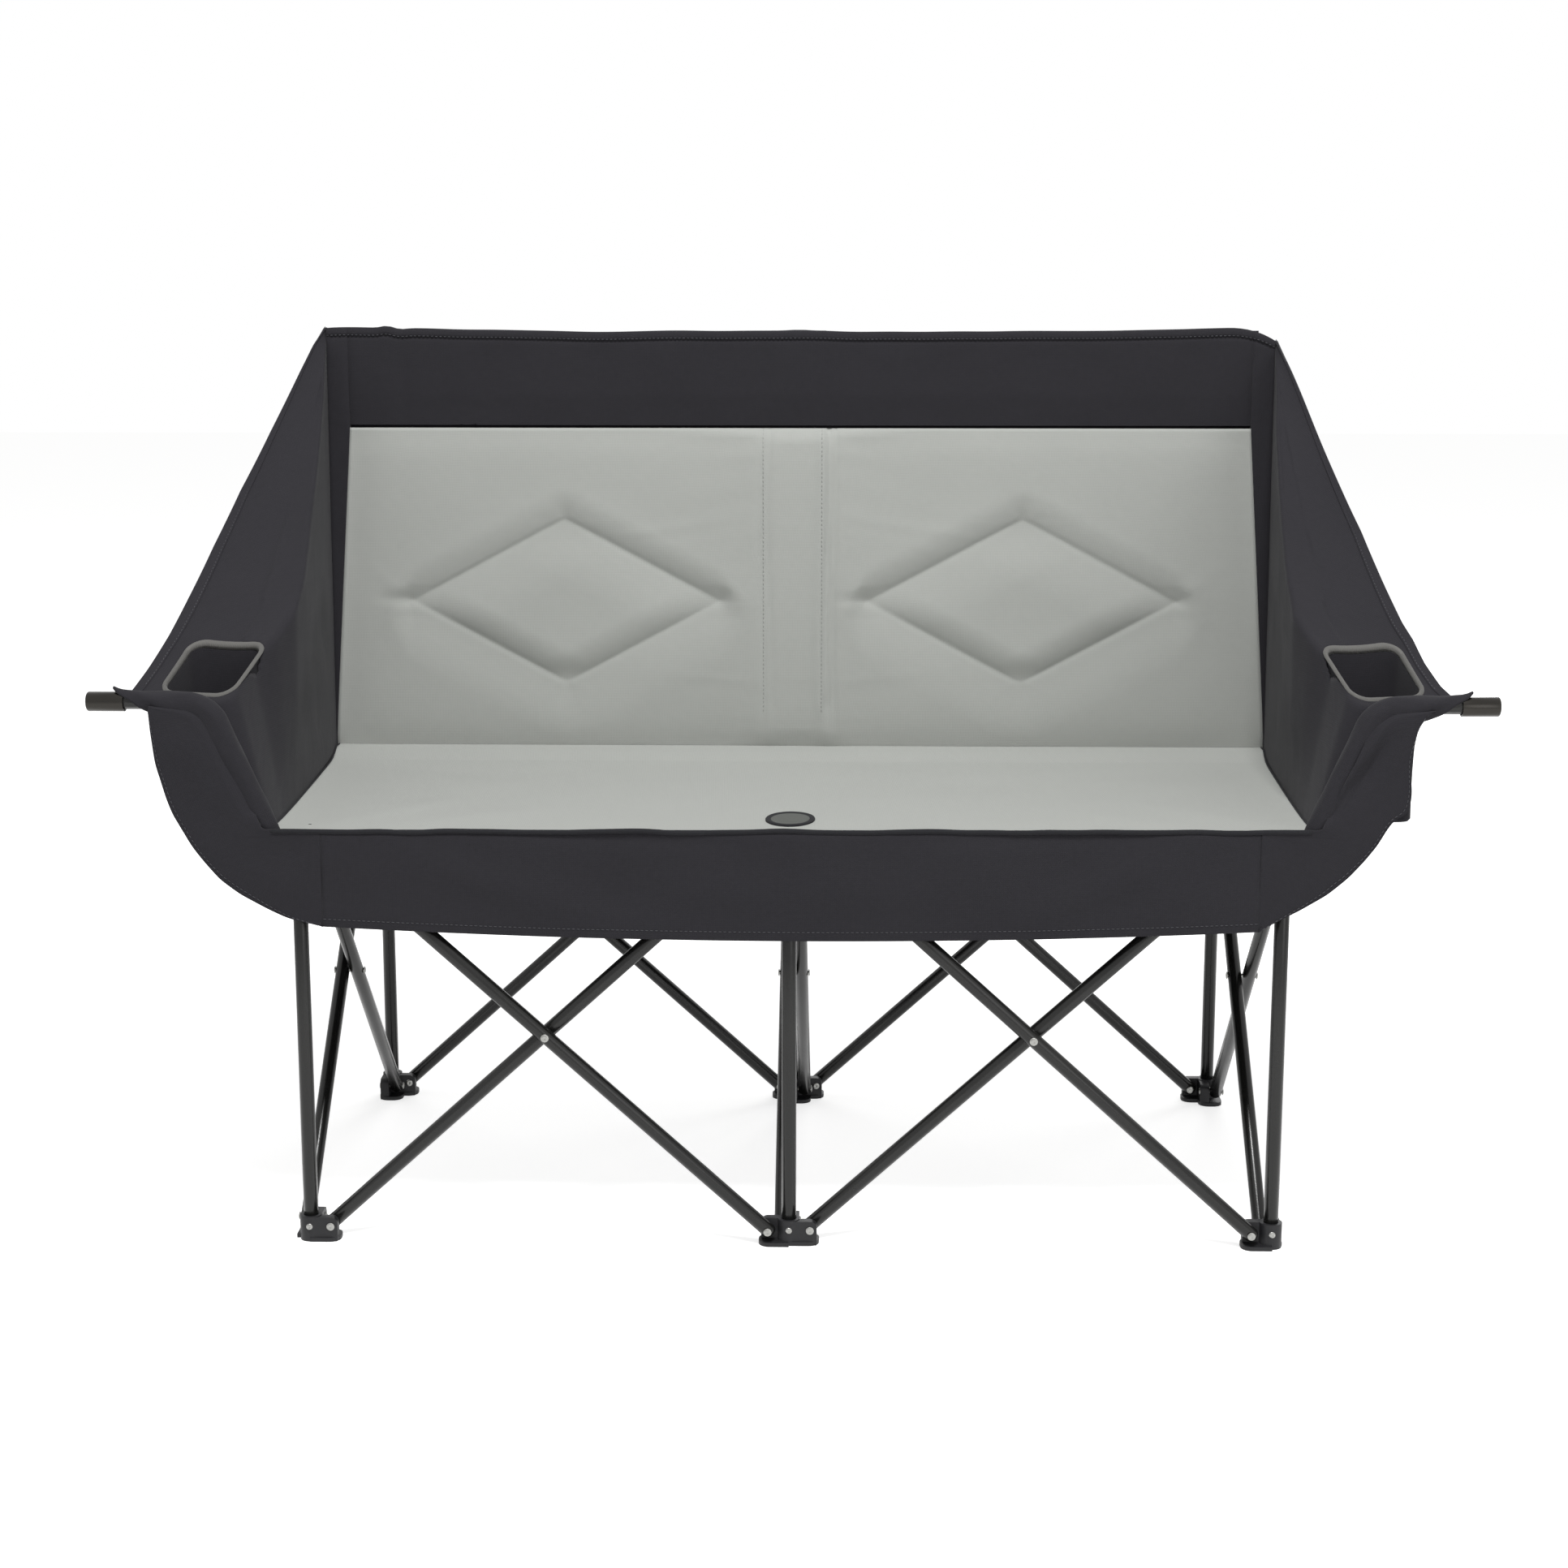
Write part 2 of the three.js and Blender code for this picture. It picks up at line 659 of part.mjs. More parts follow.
function backGeometry() {
  const half = (v) => between(backHalfBottom, backHalfTop, v);
  const topAt = (u) => backTop - backTopDip * domed(u);
  const place = (u, v, rear) => new THREE.Vector3(
    between(-half(v), half(v), u),
    rear ? backRearY : backFaceAt(u, v),
    between(backBottom, topAt(u), v),
  );
  const pad = slab(edgedSteps(14), edgedSteps(8), (u, v) => place(u, v, false), (u, v) => place(u, v, true));
  const sleeves = [-bayWidth, 0, bayWidth].map((x) => prism([
    [x - sleeveHalfFront, backRearY - clothGap],
    [x + sleeveHalfFront, backRearY - clothGap],
    [x + sleeveHalfRear, backRearY + sleeveDepth],
    [x - sleeveHalfRear, backRearY + sleeveDepth],
  ], 'z', sleeveBottom, sleeveTop));
  const room = roomFor(tubeRadius, fitGap, tubeSides);
  const bores = [-bayWidth, 0, bayWidth].map((x) => (
    cylinder(room, sleeveBottom - overrun, sleeveTop - sleeveRoof, tubeSides, 'z', [x, rowRear, 0])));
  const proud = backFrontY - backBulge;
  const grooves = [-diamondCentreX, diamondCentreX].map((x) => {
    const outline = (grow) => {
      const wide = diamondHalfWidth + grow * quiltWidth;
      const tall = diamondHalfHeight + (grow * quiltWidth * diamondHalfHeight) / diamondHalfWidth;
      return [[x - wide, diamondCentreZ], [x, diamondCentreZ - tall],
        [x + wide, diamondCentreZ], [x, diamondCentreZ + tall]];
    };
    const ring = solid(prism(outline(0.5), 'y', proud - overrun, proud + quiltDepth));
    return ring.subtract(solid(prism(outline(-0.5), 'y', proud - 2 * overrun, proud + overrun)));
  });
  const seams = [-borderSeam, -cornerSeam, -centreSeam, centreSeam, cornerSeam, borderSeam].map((x) => {
    const surface = backFaceAt((x / backHalfTop + 1) / 2, 0.5);
    const across = [x - seamWidth / 2, x + seamWidth / 2];
    return box(across, [proud - overrun, surface + seamDepth], [backBottom + seamMargin, backTop - seamMargin]);
  });
  const body = without(joined(pad, ...sleeves), ...bores, ...seams);
  return geometryOf(grooves.reduce((rest, groove) => rest.subtract(groove), body));
}

// Arm cloth: an inner side that rises from the seat's edge to a crease, a top panel from
// the crease out to a hem, and a wrap that holds the arm tube
const bendMiddle = armTubeStations[1 + bendSteps / 2];

function creaseAt(u) {
  const x = between(armRearHalf, bendMiddle.x, u) - creasePinch * fromTable(creasePinchShares, u);
  const z = between(armCreaseTop, bendMiddle.z, u) - creaseSag * 4 * u * (1 - u);
  return [x, z];
}

function hemAt(u) {
  const x = between(armRearHalf, armCapEnd - armCapLength, u);
  const z = between(armHemTop, armTipHeight, u) - hemSag * 4 * u * (1 - u);
  return [x, z];
}

function seatSideAt(u, y) {
  const { half, top } = seatEdges(y);
  const edge = half + seatEdgeGap;
  return [u === 1 ? armAxis(seatTopFront - seatEdgeDrop) : edge, top - seatEdgeDrop];
}

function armPanelHeight(u, share) {
  const z = between(creaseAt(u)[1], hemAt(u)[1], share);
  return z - panelDish * 4 * share * (1 - share) * 4 * u * (1 - u);
}

function armHeightAt(x, y) {
  const u = (armRearY + overrun - y) / (armRearY + overrun - armY);
  const share = (x - creaseAt(u)[0]) / (hemAt(u)[0] - creaseAt(u)[0]);
  return armPanelHeight(u, Math.min(Math.max(share, 0), 1));
}

function armSurface(side, u, w) {
  const y = between(armRearY + overrun, armY, u);
  const [seatX, seatZ] = seatSideAt(u, y);
  const [creaseX, creaseZ] = creaseAt(u);
  if (w < 0.5) {
    return new THREE.Vector3(side * between(seatX, creaseX, 2 * w), y, between(seatZ, creaseZ, 2 * w));
  }
  const share = 2 * w - 1;
  return new THREE.Vector3(side * between(creaseX, hemAt(u)[0], share), y, armPanelHeight(u, share));
}

function cupOutline(shrink) {
  const corner = cupCorner - shrink;
  const [wide, deep] = [cupHalfWidth - shrink - corner, cupHalfDepth - shrink - corner];
  const points = [];
  [[1, 1], [-1, 1], [-1, -1], [1, -1]].forEach(([sx, sy], quarter) => {
    for (const share of steps(3)) {
      const turn = (Math.PI / 2) * (quarter + share);
      points.push([sx * wide + corner * Math.cos(turn), sy * deep + corner * Math.sin(turn)]);
    }
  });
  return points;
}

function cupRing(side, shrink, height, scale = 1) {
  return cupOutline(shrink).map(([dx, dy]) => {
    const [x, y] = [cupCentreX + scale * dx, cupCentreY + scale * dy];
    return new THREE.Vector3(side * x, y, typeof height === 'function' ? height(x, y) : height);
  });
}

function armClothGeometry(side) {
  const us = armRowShares;
  const ws = steps(10);
  const nudge = 0.002;
  const normalAt = (u, w) => {
    const [lowU, highU] = [Math.max(0, u - nudge), Math.min(0.999, u + nudge)];
    const [lowW, highW] = [Math.max(0, w - nudge), Math.min(1, w + nudge)];
    const alongU = armSurface(side, highU, w).sub(armSurface(side, lowU, w));
    const alongW = armSurface(side, Math.min(u, 0.999), highW).sub(armSurface(side, Math.min(u, 0.999), lowW));
    return alongU.cross(alongW).normalize();
  };
  const face = (sign) => (u, w) => (
    armSurface(side, u, w).addScaledVector(normalAt(u, w), (sign * armClothThickness) / 2));
  const sheet = slab(us, ws, face(1), face(-1));
  const wrapStations = armStations(seatTopFront + wrapStart, armCapEnd - armCapLength - fitGap);
  const talls = wrapTallShares.map((share) => between(wrapThin, wrapTall, share));
  const wrap = loft(armRings(side, wrapStations, wrapThin, talls, barSides));
  const room = roomFor(tubeRadius, fitGap, barSides);
  const roomStations = armStations(seatUnderFront - overrun, armCapEnd);
  const clear = loft(armRings(side, roomStations, room, roomStations.map(() => room), barSides));
  const hole = prism(
    cupOutline(-fitGap).map(([dx, dy]) => [side * (cupCentreX + dx), cupCentreY + dy]),
    'z', pocketBottom, armCreaseTop);
  const wide = [side * seatFrontHalf / 2, side * armCapEnd].sort((a, b) => a - b);
  const behind = box(wide, [armRearY, backRearY], [seatTopRear - 2 * seatThickness, armHemTop + 2 * overrun]);
  return geometryOf(without(joined(sheet, wrap), clear, hole, behind));
}

function cupRimGeometry(side) {
  const upper = (x, y) => armHeightAt(x, y) + rimRise;
  const lower = (x, y) => armHeightAt(x, y) - rimDrop;
  return geometryOf(solid(loft([
    cupRing(side, 0, lower),
    cupRing(side, 0, upper),
    cupRing(side, rimWall, upper),
    cupRing(side, rimWall, lower),
  ], true)));
}

function cupPocketGeometry(side) {
  const mouth = (x, y) => armHeightAt(x, y) - rimDrop - fitGap;
  const scale = pocketTaperShare;
  return geometryOf(solid(loft([
    cupRing(side, 0, pocketBottom, scale),
    cupRing(side, 0, mouth),
    cupRing(side, pocketWall, mouth),
    cupRing(side, pocketWall, pocketBottom + pocketWall, scale),
  ])));
}

// Front cloth: a skirt across the front and a flank under each arm tube
function skirtGeometry() {
  const half = skirtHalf - fitGap / 2;
  const hem = steps(16).map((share) => {
    const x = between(half, -half, share);
    return [x, between(skirtMiddleBottom, flankBottom, (x / half) ** 2)];
  });
  return geometryOf(solid(prism([[-half, skirtTop], [half, skirtTop], ...hem], 'y', frontFace, frontFace - frontThickness)));
}

function flankGeometry(side) {
  const inner = skirtHalf + fitGap / 2;
  const edge = flankEdgeShares.map(([wide, tall]) => [
    between(inner, flankOuter, wide),
    between(flankBottom, flankTop, tall),
  ]);
  const underTube = armTubeStations.filter(({ x }) => x < flankOuter).slice(1).reverse().map(({ x, z, slope }) => [
    x + flankTubeGap * Math.sin(slope),
    z - flankTubeGap * Math.cos(slope),
  ]);
  const corner = [armAxis(skirtTop) + flankTubeGap / Math.sin(lean), skirtTop];
  const outline = [...edge, ...underTube, corner, [inner, skirtTop]].map(([x, z]) => [side * x, z]);
  return geometryOf(solid(prism(outline, 'y', frontFace, frontFace - frontThickness)));
}

function named(name, geometry, finish) {
  const mesh = new THREE.Mesh(geometry, new THREE.MeshStandardMaterial(finish));
  mesh.name = name;
  return mesh;
}

// The frame: feet, posts and hubs at each place of the grid
const loveseat = new THREE.Group();
const columns = [['left', -1], ['centre', 0], ['right', 1]];
const frontPost = frontPostGeometry();
const rearPost = rearPostGeometry();
const rod = rodGeometry();

for (const [columnName, column] of columns) {
  for (const [rowName, row] of [['front', -1], ['rear', 1]]) {
    const place = `${rowName}_${columnName}`;
    const stand = new THREE.Group();
    stand.position.set(column * bayWidth, row * rowRear, 0);
    loveseat.add(stand);
    const footArms = [{ axis: 'y', toward: -row, layer: row }];
    const hubArms = [{ axis: 'y', toward: -row, layer: -row }];
    if (column > -1) {
      footArms.push({ axis: 'x', toward: -1, layer: -1 });
      hubArms.push({ axis: 'x', toward: -1, layer: 1 });
    }
    if (column < 1) {
      footArms.push({ axis: 'x', toward: 1, layer: 1 });
      hubArms.push({ axis: 'x', toward: 1, layer: -1 });
    }
    stand.add(named(`foot_${place}`, footGeometry(footArms), plasticFinish));
    stand.add(named(`post_${place}`, row > 0 ? rearPost : frontPost, tubeFinish));
    const hub = named(`hub_${place}`, hubGeometry(hubArms, row < 0, column), plasticFinish);
    hub.position.z = hubPinHeight;
    stand.add(hub);
    if (row < 0) {
      stand.add(named(`rod_${place}`, rod, tubeFinish));
    }
  }
}

// The bars: each runs from a foot pin to the hub pin of the next post
const barAcross = barGeometry(Math.hypot(spanAcross, barRise));
const barDeep = barGeometry(Math.hypot(spanDeep, barRise));

function placeBar(name, geometry, foot, hub, pinAxis) {
  const bar = named(name, geometry, tubeFinish);
  const along = hub.clone().sub(foot).normalize();
  const third = pinAxis.clone().cross(along);
  bar.quaternion.setFromRotationMatrix(new THREE.Matrix4().makeBasis(third, pinAxis, along));
  bar.position.copy(foot).add(hub).divideScalar(2);
  loveseat.add(bar);
}

const crossing = (footPinHeight + hubPinHeight) / 2;
const rivetAcross = geometryOf(solid(pin('y', [0, 0, 0], -rivetEnd, rivetEnd)));
const rivetDeep = geometryOf(solid(pin('x', [0, 0, 0], -rivetEnd, rivetEnd)));

for (const [rowName, row] of [['front', -1], ['rear', 1]]) {
  for (const [bayName, bay] of [['left', -1], ['right', 1]]) {
    const middle = (bay * bayWidth) / 2;
    const place = `${rowName}_${bayName}`;
    for (const [leanName, layer] of [['falling', -1], ['rising', 1]]) {
      const y = row * rowRear + layer * layerOffset;
      const foot = new THREE.Vector3(middle - (layer * spanAcross) / 2, y, footPinHeight);
      const hub = new THREE.Vector3(middle + (layer * spanAcross) / 2, y, hubPinHeight);
      placeBar(`bar_${place}_${leanName}`, barAcross, foot, hub, alongY);
    }
    const rivet = named(`rivet_${place}`, rivetAcross, rivetFinish);
    rivet.position.set(middle, row * rowRear, crossing);
    loveseat.add(rivet);
  }
}

for (const [columnName, column] of columns) {
  for (const [endName, row] of [['fore', -1], ['back', 1]]) {
    const x = column * bayWidth + row * layerOffset;
    const foot = new THREE.Vector3(x, (row * spanDeep) / 2, footPinHeight);
    const hub = new THREE.Vector3(x, (-row * spanDeep) / 2, hubPinHeight);
    placeBar(`bar_${columnName}_${endName}`, barDeep, foot, hub, alongX);
  }
  const rivet = named(`rivet_${columnName}`, rivetDeep, rivetFinish);
  rivet.position.set(column * bayWidth, 0, crossing);
  loveseat.add(rivet);
}

// The arms, the cups and the cloth
for (const [sideName, side] of [['left', -1], ['right', 1]]) {
  loveseat.add(named(`arm_tube_${sideName}`, armTubeGeometry(side), tubeFinish));
  loveseat.add(named(`arm_cap_${sideName}`, armCapGeometry(side), capFinish));
  loveseat.add(named(`arm_cloth_${sideName}`, armClothGeometry(side), darkClothFinish));
  loveseat.add(named(`cup_rim_${sideName}`, cupRimGeometry(side), rimFinish));
  loveseat.add(named(`cup_pocket_${sideName}`, cupPocketGeometry(side), darkClothFinish));
  loveseat.add(named(`front_flank_${sideName}`, flankGeometry(side), darkClothFinish));
}
loveseat.add(named('seat_cloth', seatGeometry(), padFinish));
loveseat.add(named('seat_patch', patchGeometry(), patchFinish));
loveseat.add(named('back_cloth', backGeometry(), padFinish));
loveseat.add(named('front_skirt', skirtGeometry(), darkClothFinish));

export default loveseat;
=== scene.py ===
import math

import bmesh
import bpy
import numpy as np
from mathutils import Matrix, Vector


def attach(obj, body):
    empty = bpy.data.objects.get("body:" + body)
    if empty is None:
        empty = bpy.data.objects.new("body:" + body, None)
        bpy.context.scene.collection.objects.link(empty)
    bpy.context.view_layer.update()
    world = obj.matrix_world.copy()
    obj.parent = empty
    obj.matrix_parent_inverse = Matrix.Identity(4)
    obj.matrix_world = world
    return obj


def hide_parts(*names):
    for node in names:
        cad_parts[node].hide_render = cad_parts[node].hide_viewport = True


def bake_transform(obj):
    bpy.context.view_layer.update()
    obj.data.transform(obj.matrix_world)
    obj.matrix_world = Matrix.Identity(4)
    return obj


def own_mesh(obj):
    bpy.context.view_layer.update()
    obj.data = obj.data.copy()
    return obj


bl_info = {
    "name": "Folding camping loveseat",
    "version": (1, 0, 0),
    "blender": (4, 5, 0),
    "location": "3D View > Sidebar > Loveseat",
    "description": "Dresses the frame of a folding two-seat camping chair in tubes, fittings and cloth",
    "category": "Object",
}

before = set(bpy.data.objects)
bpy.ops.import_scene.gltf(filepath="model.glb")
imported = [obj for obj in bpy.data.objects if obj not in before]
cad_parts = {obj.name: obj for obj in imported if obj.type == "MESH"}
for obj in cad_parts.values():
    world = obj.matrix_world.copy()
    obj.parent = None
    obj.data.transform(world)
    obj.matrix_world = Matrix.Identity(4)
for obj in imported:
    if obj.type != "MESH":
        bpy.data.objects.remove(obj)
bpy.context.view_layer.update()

MM = 0.001
SIDES = (("left", -1), ("right", 1))
COLUMNS = (("left", -1), ("centre", 0), ("right", 1))
ROWS = (("front", -1), ("rear", 1))

# The frame, in millimetres, as its CAD solids have it
BAY = 525
HALF_BAY = BAY / 2
PIN_INSET = 23
FOOT_PIN = 17
HUB_PIN = 452
TUBE = 8
LAYER = 8.5
BAR_REACH = 7.5
PLATE = 11
PLATE_GAP = 0.2
FOOT_PLATE = 30.5
FOOT_HEIGHT = 27
FOOT_COLLAR = 12.2
FOOT_FLOOR = 4
FLANGE_REACH = 33
FLANGE_INNER = 13
FLANGE_OUTER = 16.5
FLANGE_HEIGHT = 4.6
FLANGE_NOSE = 12
HUB_PLATE = 31
HUB_COLLAR = 12.5
SOCKET = 11
POST_BOTTOM = 4.3
FRONT_POST_TOP = 431.7
REAR_POST_TOP = 967.7
SPAN = BAY - 2 * PIN_INSET
BAR_RISE = HUB_PIN - FOOT_PIN
TUBE_SIDES = 28
POST_SIDES = 32
BAR_TIP = ((0.7, 1.9), (1.3, 1.7), (1.9, 1.2), (2.0, 0.6))
BAR_TIP_ROOM = 0.1
POST_TIPS = {"front": ((0.5, 0.8), (0.7, -0.8)), "rear": ((0.8, 1.2), (1.6, 0.6), (2.2, 0.2))}
FIT = 0.3
RIVET = 2.4
RIVET_SIDES = 16
RIVET_HEAD = 4.4
RIVET_SINK = 0.2
RIVET_RISE = 0.55
RIVET_DOME = ((0.9, 0.65), (1.2, 0.3), (0.9, -0.25), (0.5, -0.35))

# The arm tube's line, in millimetres
ARM_LEAN = math.radians(66)
ARM_Y = -270.5
ARM_FOOT_X = 553.257
ARM_FOOT_Z = 461.6
ARM_TIP_Z = 598
ARM_BEND = 36
CAP_END = 742
CAP_LENGTH = 40
CREASE_BACK = (578.5, 968)
CREASE_FRONT = (617.8, 592.2)
CREASE_PINCH = 56
CREASE_SAG = 36
HEM_BACK = (578.5, 978)
HEM_SAG = 33
PANEL_SAG = 36
CAP = 10.5
CAP_WALL = 1.6
CAP_TIP = ((0.7, 1.1), (0.9, 0.6), (1.5, 0.3))

# The cloth, in millimetres
SEAT_FRONT = (551, -282.7, 465.5)
SEAT_REAR = (577, 226, 457)
SEAT_THICK = 6.4
SEAT_WAIST = 4
SEAT_LEAN = 0.004
SEAT_BACK = 248
PATCH_Y = -207
PATCH_HALF = (27, 39)
BACK_FRONT = 243
BACK_REAR = 252.5
PAD_REAR = BACK_REAR - 3
BACK_BOTTOM = 462
BACK_TOP = 980
BACK_HALF = (582, 577)
PAD_TOP = 857
PAD_HALF = (580, 551)
DIAMOND = (282, 644, 190, 102)
DIAMOND_SHIFT = 6.5
SLEEVE_HALF = 33
CENTRE_SEAM = 36
CORNER_SEAM = 484
FRONT_FACE = -284.5
ARM_REAR_Y = 242.7
CUP = (619, -208, 46, 45, 20)
POCKET_BOTTOM = 472
SKIRT_HALF = 497
SKIRT_FOOT = 345
SKIRT_FOOT_RISE = 13
PIPING = 2.6
PIPING_HALF = 549
TOUCH = 0.01
WELD = 0.00001

# A stitch: its share of the pitch, how far its ends sink in, and its rings as shares of
# its length and of its radius, with whether they lie on the cloth
STITCH_SHARE = 0.68
STITCH_SINK = 0.1
STITCH_RINGS = ((0.0, 0.35, False), (0.25, 1.0, True), (0.75, 1.0, True), (1.0, 0.35, False))

# The ways that a cloth faces
FRONTWARD = (0.0, -1.0, 0.0)
REARWARD = (0.0, 1.0, 0.0)
UPWARD = (0.0, 0.0, 1.0)


def length(name, description, default, low, high):
    return bpy.props.FloatProperty(
        name=name, description=description, default=default, min=low, max=high, unit="LENGTH", precision=4)


class LoveseatSizes(bpy.types.PropertyGroup):
    """Sizes of the details that the looks add to the frame"""

    cloth: length("Cloth thickness", "Thickness of the dark cloth with its lining", 0.0018, 0.0005, 0.004)
    weave: length("Weave", "Spacing of the threads as drawn, coarser than real so that it shows",
                  0.0021, 0.0005, 0.01)
    quilt: length("Quilting depth", "How far the sewn diamonds pull into the back pad", 0.0125, 0.001, 0.02)
    quilt_spread: length("Quilting spread", "How far from its seam the pad recovers its fullness",
                         0.038, 0.005, 0.06)
    puff: length("Puff", "The most that the padding may swell out of its flat shape", 0.006, 0.001, 0.02)
    hem: length("Hem", "Width of the turned hems", 0.012, 0.005, 0.03)
    stitch: length("Stitch", "Length of one stitch with the gap after it", 0.0052, 0.002, 0.01)
    edge: length("Moulded edge", "Rounding of the edges of the plastic feet and hubs", 0.0012, 0.0002, 0.003)


def linear(code):
    """An sRGB hex colour as the linear values that a shader reads."""
    parts = [int(code[i:i + 2], 16) / 255 for i in (1, 3, 5)]
    return tuple(c / 12.92 if c <= 0.04045 else ((c + 0.055) / 1.055) ** 2.4 for c in parts) + (1.0,)


def colour(name, description, code):
    return bpy.props.FloatVectorProperty(
        name=name, description=description, default=linear(code), size=4, subtype="COLOR", min=0, max=1)


class LoveseatColours(bpy.types.PropertyGroup):
    """Colours of the finishes"""

    pad: colour("Pad", "Grey cloth of the seat and the back", "#abada9")
    dark: colour("Dark cloth", "Charcoal cloth of the arms, the band and the front", "#2a292d")
    tube: colour("Tube", "Powder coat of the tubes", "#1b1b1a")
    plastic: colour("Plastic", "Nylon of the feet and hubs", "#1d1d1f")
    steel: colour("Steel", "Zinc plate of the rivets", "#9b9b98")
    cap: colour("Cap", "Metallic lacquer of the arm caps", "#34322f")
    rim: colour("Rim tape", "Ribbed tape round the cup holes", "#5f5e5b")
    patch: colour("Patch", "Bare oval patch on the seat", "#5a5c59")
    edging: colour("Edging", "Narrow cloth edging of the seat, the patch and the front", "#252528")
    thread: colour("Thread", "Sewing thread on the dark cloth", "#3c3c40")
    pad_thread: colour("Pad thread", "Sewing thread on the back pad", "#8f918e")
    floor: colour("Floor", "Pale studio floor", "#f4f4f3")


def sizes():
    return bpy.context.scene.loveseat_sizes


def colours():
    return bpy.context.scene.loveseat_colours


# Materials


def add_node(tree, kind, inputs=None, **settings):
    """Adds a node with its settings, and its inputs as values or as links from other sockets."""
    node = tree.nodes.new(kind)
    for name, value in settings.items():
        setattr(node, name, value)
    for key, value in (inputs or {}).items():
        if isinstance(value, bpy.types.NodeSocket):
            tree.links.new(value, node.inputs[key])
        else:
            node.inputs[key].default_value = value
    return node


def noise(tree, place, across, detail, distortion=0.0):
    """Uneven patches of about a given width in millimetres, as a factor between 0 and 1."""
    return add_node(tree, "ShaderNodeTexNoise", {
        "Vector": place, "Scale": 1000 / across, "Detail": detail, "Distortion": distortion}).outputs["Fac"]


def bands(tree, place, pitch, way, **inputs):
    """Threads or ribs at a pitch in millimetres, where a wave at scale 1 repeats every 0.31416 of a unit."""
    return add_node(tree, "ShaderNodeTexWave", {"Vector": place, "Scale": 0.31416 * 1000 / pitch, **inputs},
                    bands_direction=way).outputs["Fac"]


def combined(tree, one, other, operation):
    return add_node(tree, "ShaderNodeMath", {0: one, 1: other}, operation=operation).outputs[0]


def relief_of(tree, height, strength, depth, **inputs):
    """Bumps of a pattern, as deep as the real ones in millimetres."""
    return add_node(tree, "ShaderNodeBump", {
        "Height": height, "Strength": strength, "Distance": depth * MM, **inputs}).outputs[0]


def ranged(tree, value, low, high, **inputs):
    return add_node(tree, "ShaderNodeMapRange", {
        "Value": value, "To Min": low, "To Max": high, **inputs}).outputs[0]


def shaded(tree, base, factor, low, high):
    """A colour that runs from low to high times its base with a factor between 0 and 1."""
    tones = [tuple(min(1, c * share) for c in base[:3]) + (1,) for share in (low, high)]
    mix = add_node(tree, "ShaderNodeMix", {0: factor, 6: tones[0], 7: tones[1]}, data_type="RGBA")
    return mix.outputs["Result"]


def new_material(name):
    material = bpy.data.materials.new(name)
    material.use_nodes = True
    material.node_tree.nodes.clear()
    return material, material.node_tree


def principled(name, look):
    """A material whose one shader reads what the look gives for its node tree."""
    material, tree = new_material(name)
    shader = add_node(tree, "ShaderNodeBsdfPrincipled", look(tree))
    add_node(tree, "ShaderNodeOutputMaterial", {"Surface": shader.outputs[0]})
    return material


def on_cloth(tree):
    return add_node(tree, "ShaderNodeUVMap", uv_map="Cloth").outputs[0]


def on_object(tree):
    return add_node(tree, "ShaderNodeTexCoord").outputs["Object"]


def woven_cloth(name, base, relief, tone, roughness, sheen):
    """Plain-woven polyester: crossed threads that catch the light, matt with a faint sheen."""
    def look(tree):
        place = on_cloth(tree)
        uneven = {"Distortion": 0.6, "Detail": 1.0, "Detail Scale": 0.6}
        threads = [bands(tree, place, sizes().weave / MM, way, **uneven) for way in "XY"]
        weave = combined(tree, *threads, "MULTIPLY")
        # Uneven dye in clouds 125 mm across, slubs 6.7 mm long and soft creases from packing, 67 mm across
        clouds, slubs = noise(tree, place, 125, 3.0), noise(tree, place, 6.667, 2.0)
        creases = noise(tree, place, 66.67, 2.0, 0.8)
        grain = combined(tree, weave, combined(tree, clouds, slubs, "ADD"), "ADD")
        share = ranged(tree, grain, 0, 1, **{"From Min": 0.6, "From Max": 1.9})
        soft = relief_of(tree, creases, relief, 4)
        return {"Base Color": shaded(tree, base, share, 1 - tone, 1 + tone),
                "Roughness": roughness, "IOR": 1.46,
                "Normal": relief_of(tree, weave, 0.35, 0.4, Normal=soft),
                "Sheen Weight": sheen, "Sheen Roughness": 0.5, "Specular IOR Level": 0.2}
    return principled(name, look)


def coated_steel(name, base, roughness, metallic, peel_size, bump):
    """Steel tube with baked powder coat: a fine orange peel that breaks up a narrow highlight."""
    def look(tree):
        place = on_object(tree)
        # Orange peel of a given size, and scuffs 30 mm across that change the gloss more than the colour
        peel, scuffs = noise(tree, place, peel_size, 2.0), noise(tree, place, 30.3, 4.0)
        return {"Base Color": shaded(tree, base, scuffs, 0.88, 1.12), "Metallic": metallic, "IOR": 1.4,
                "Roughness": ranged(tree, scuffs, roughness - 0.06, roughness + 0.08),
                "Normal": relief_of(tree, peel, bump, 0.2), "Coat Weight": 0.04, "Coat Roughness": 0.12}
    return principled(name, look)


def moulded_nylon(name, base):
    """Injection-moulded nylon: spark-eroded skin, matt, a little paler where it is rubbed."""
    def look(tree):
        place = on_object(tree)
        # Mould texture 1.1 mm across, and rubbed places 17 mm across
        skin, worn = noise(tree, place, 1.111, 2.0), noise(tree, place, 16.67, 3.0)
        return {"Base Color": shaded(tree, base, worn, 0.8, 1.35), "Roughness": 0.5, "IOR": 1.53,
                "Specular IOR Level": 0.3, "Normal": relief_of(tree, skin, 0.4, 0.2)}
    return principled(name, look)


def plated_steel(name, base):
    """Zinc-plated rivet steel: bright, with the faint haze of the plating bath."""
    def look(tree):
        haze = noise(tree, on_object(tree), 2, 3.0)
        return {"Base Color": shaded(tree, base, haze, 0.8, 1.1), "Metallic": 1.0,
                "Roughness": ranged(tree, haze, 0.22, 0.42)}
    return principled(name, look)


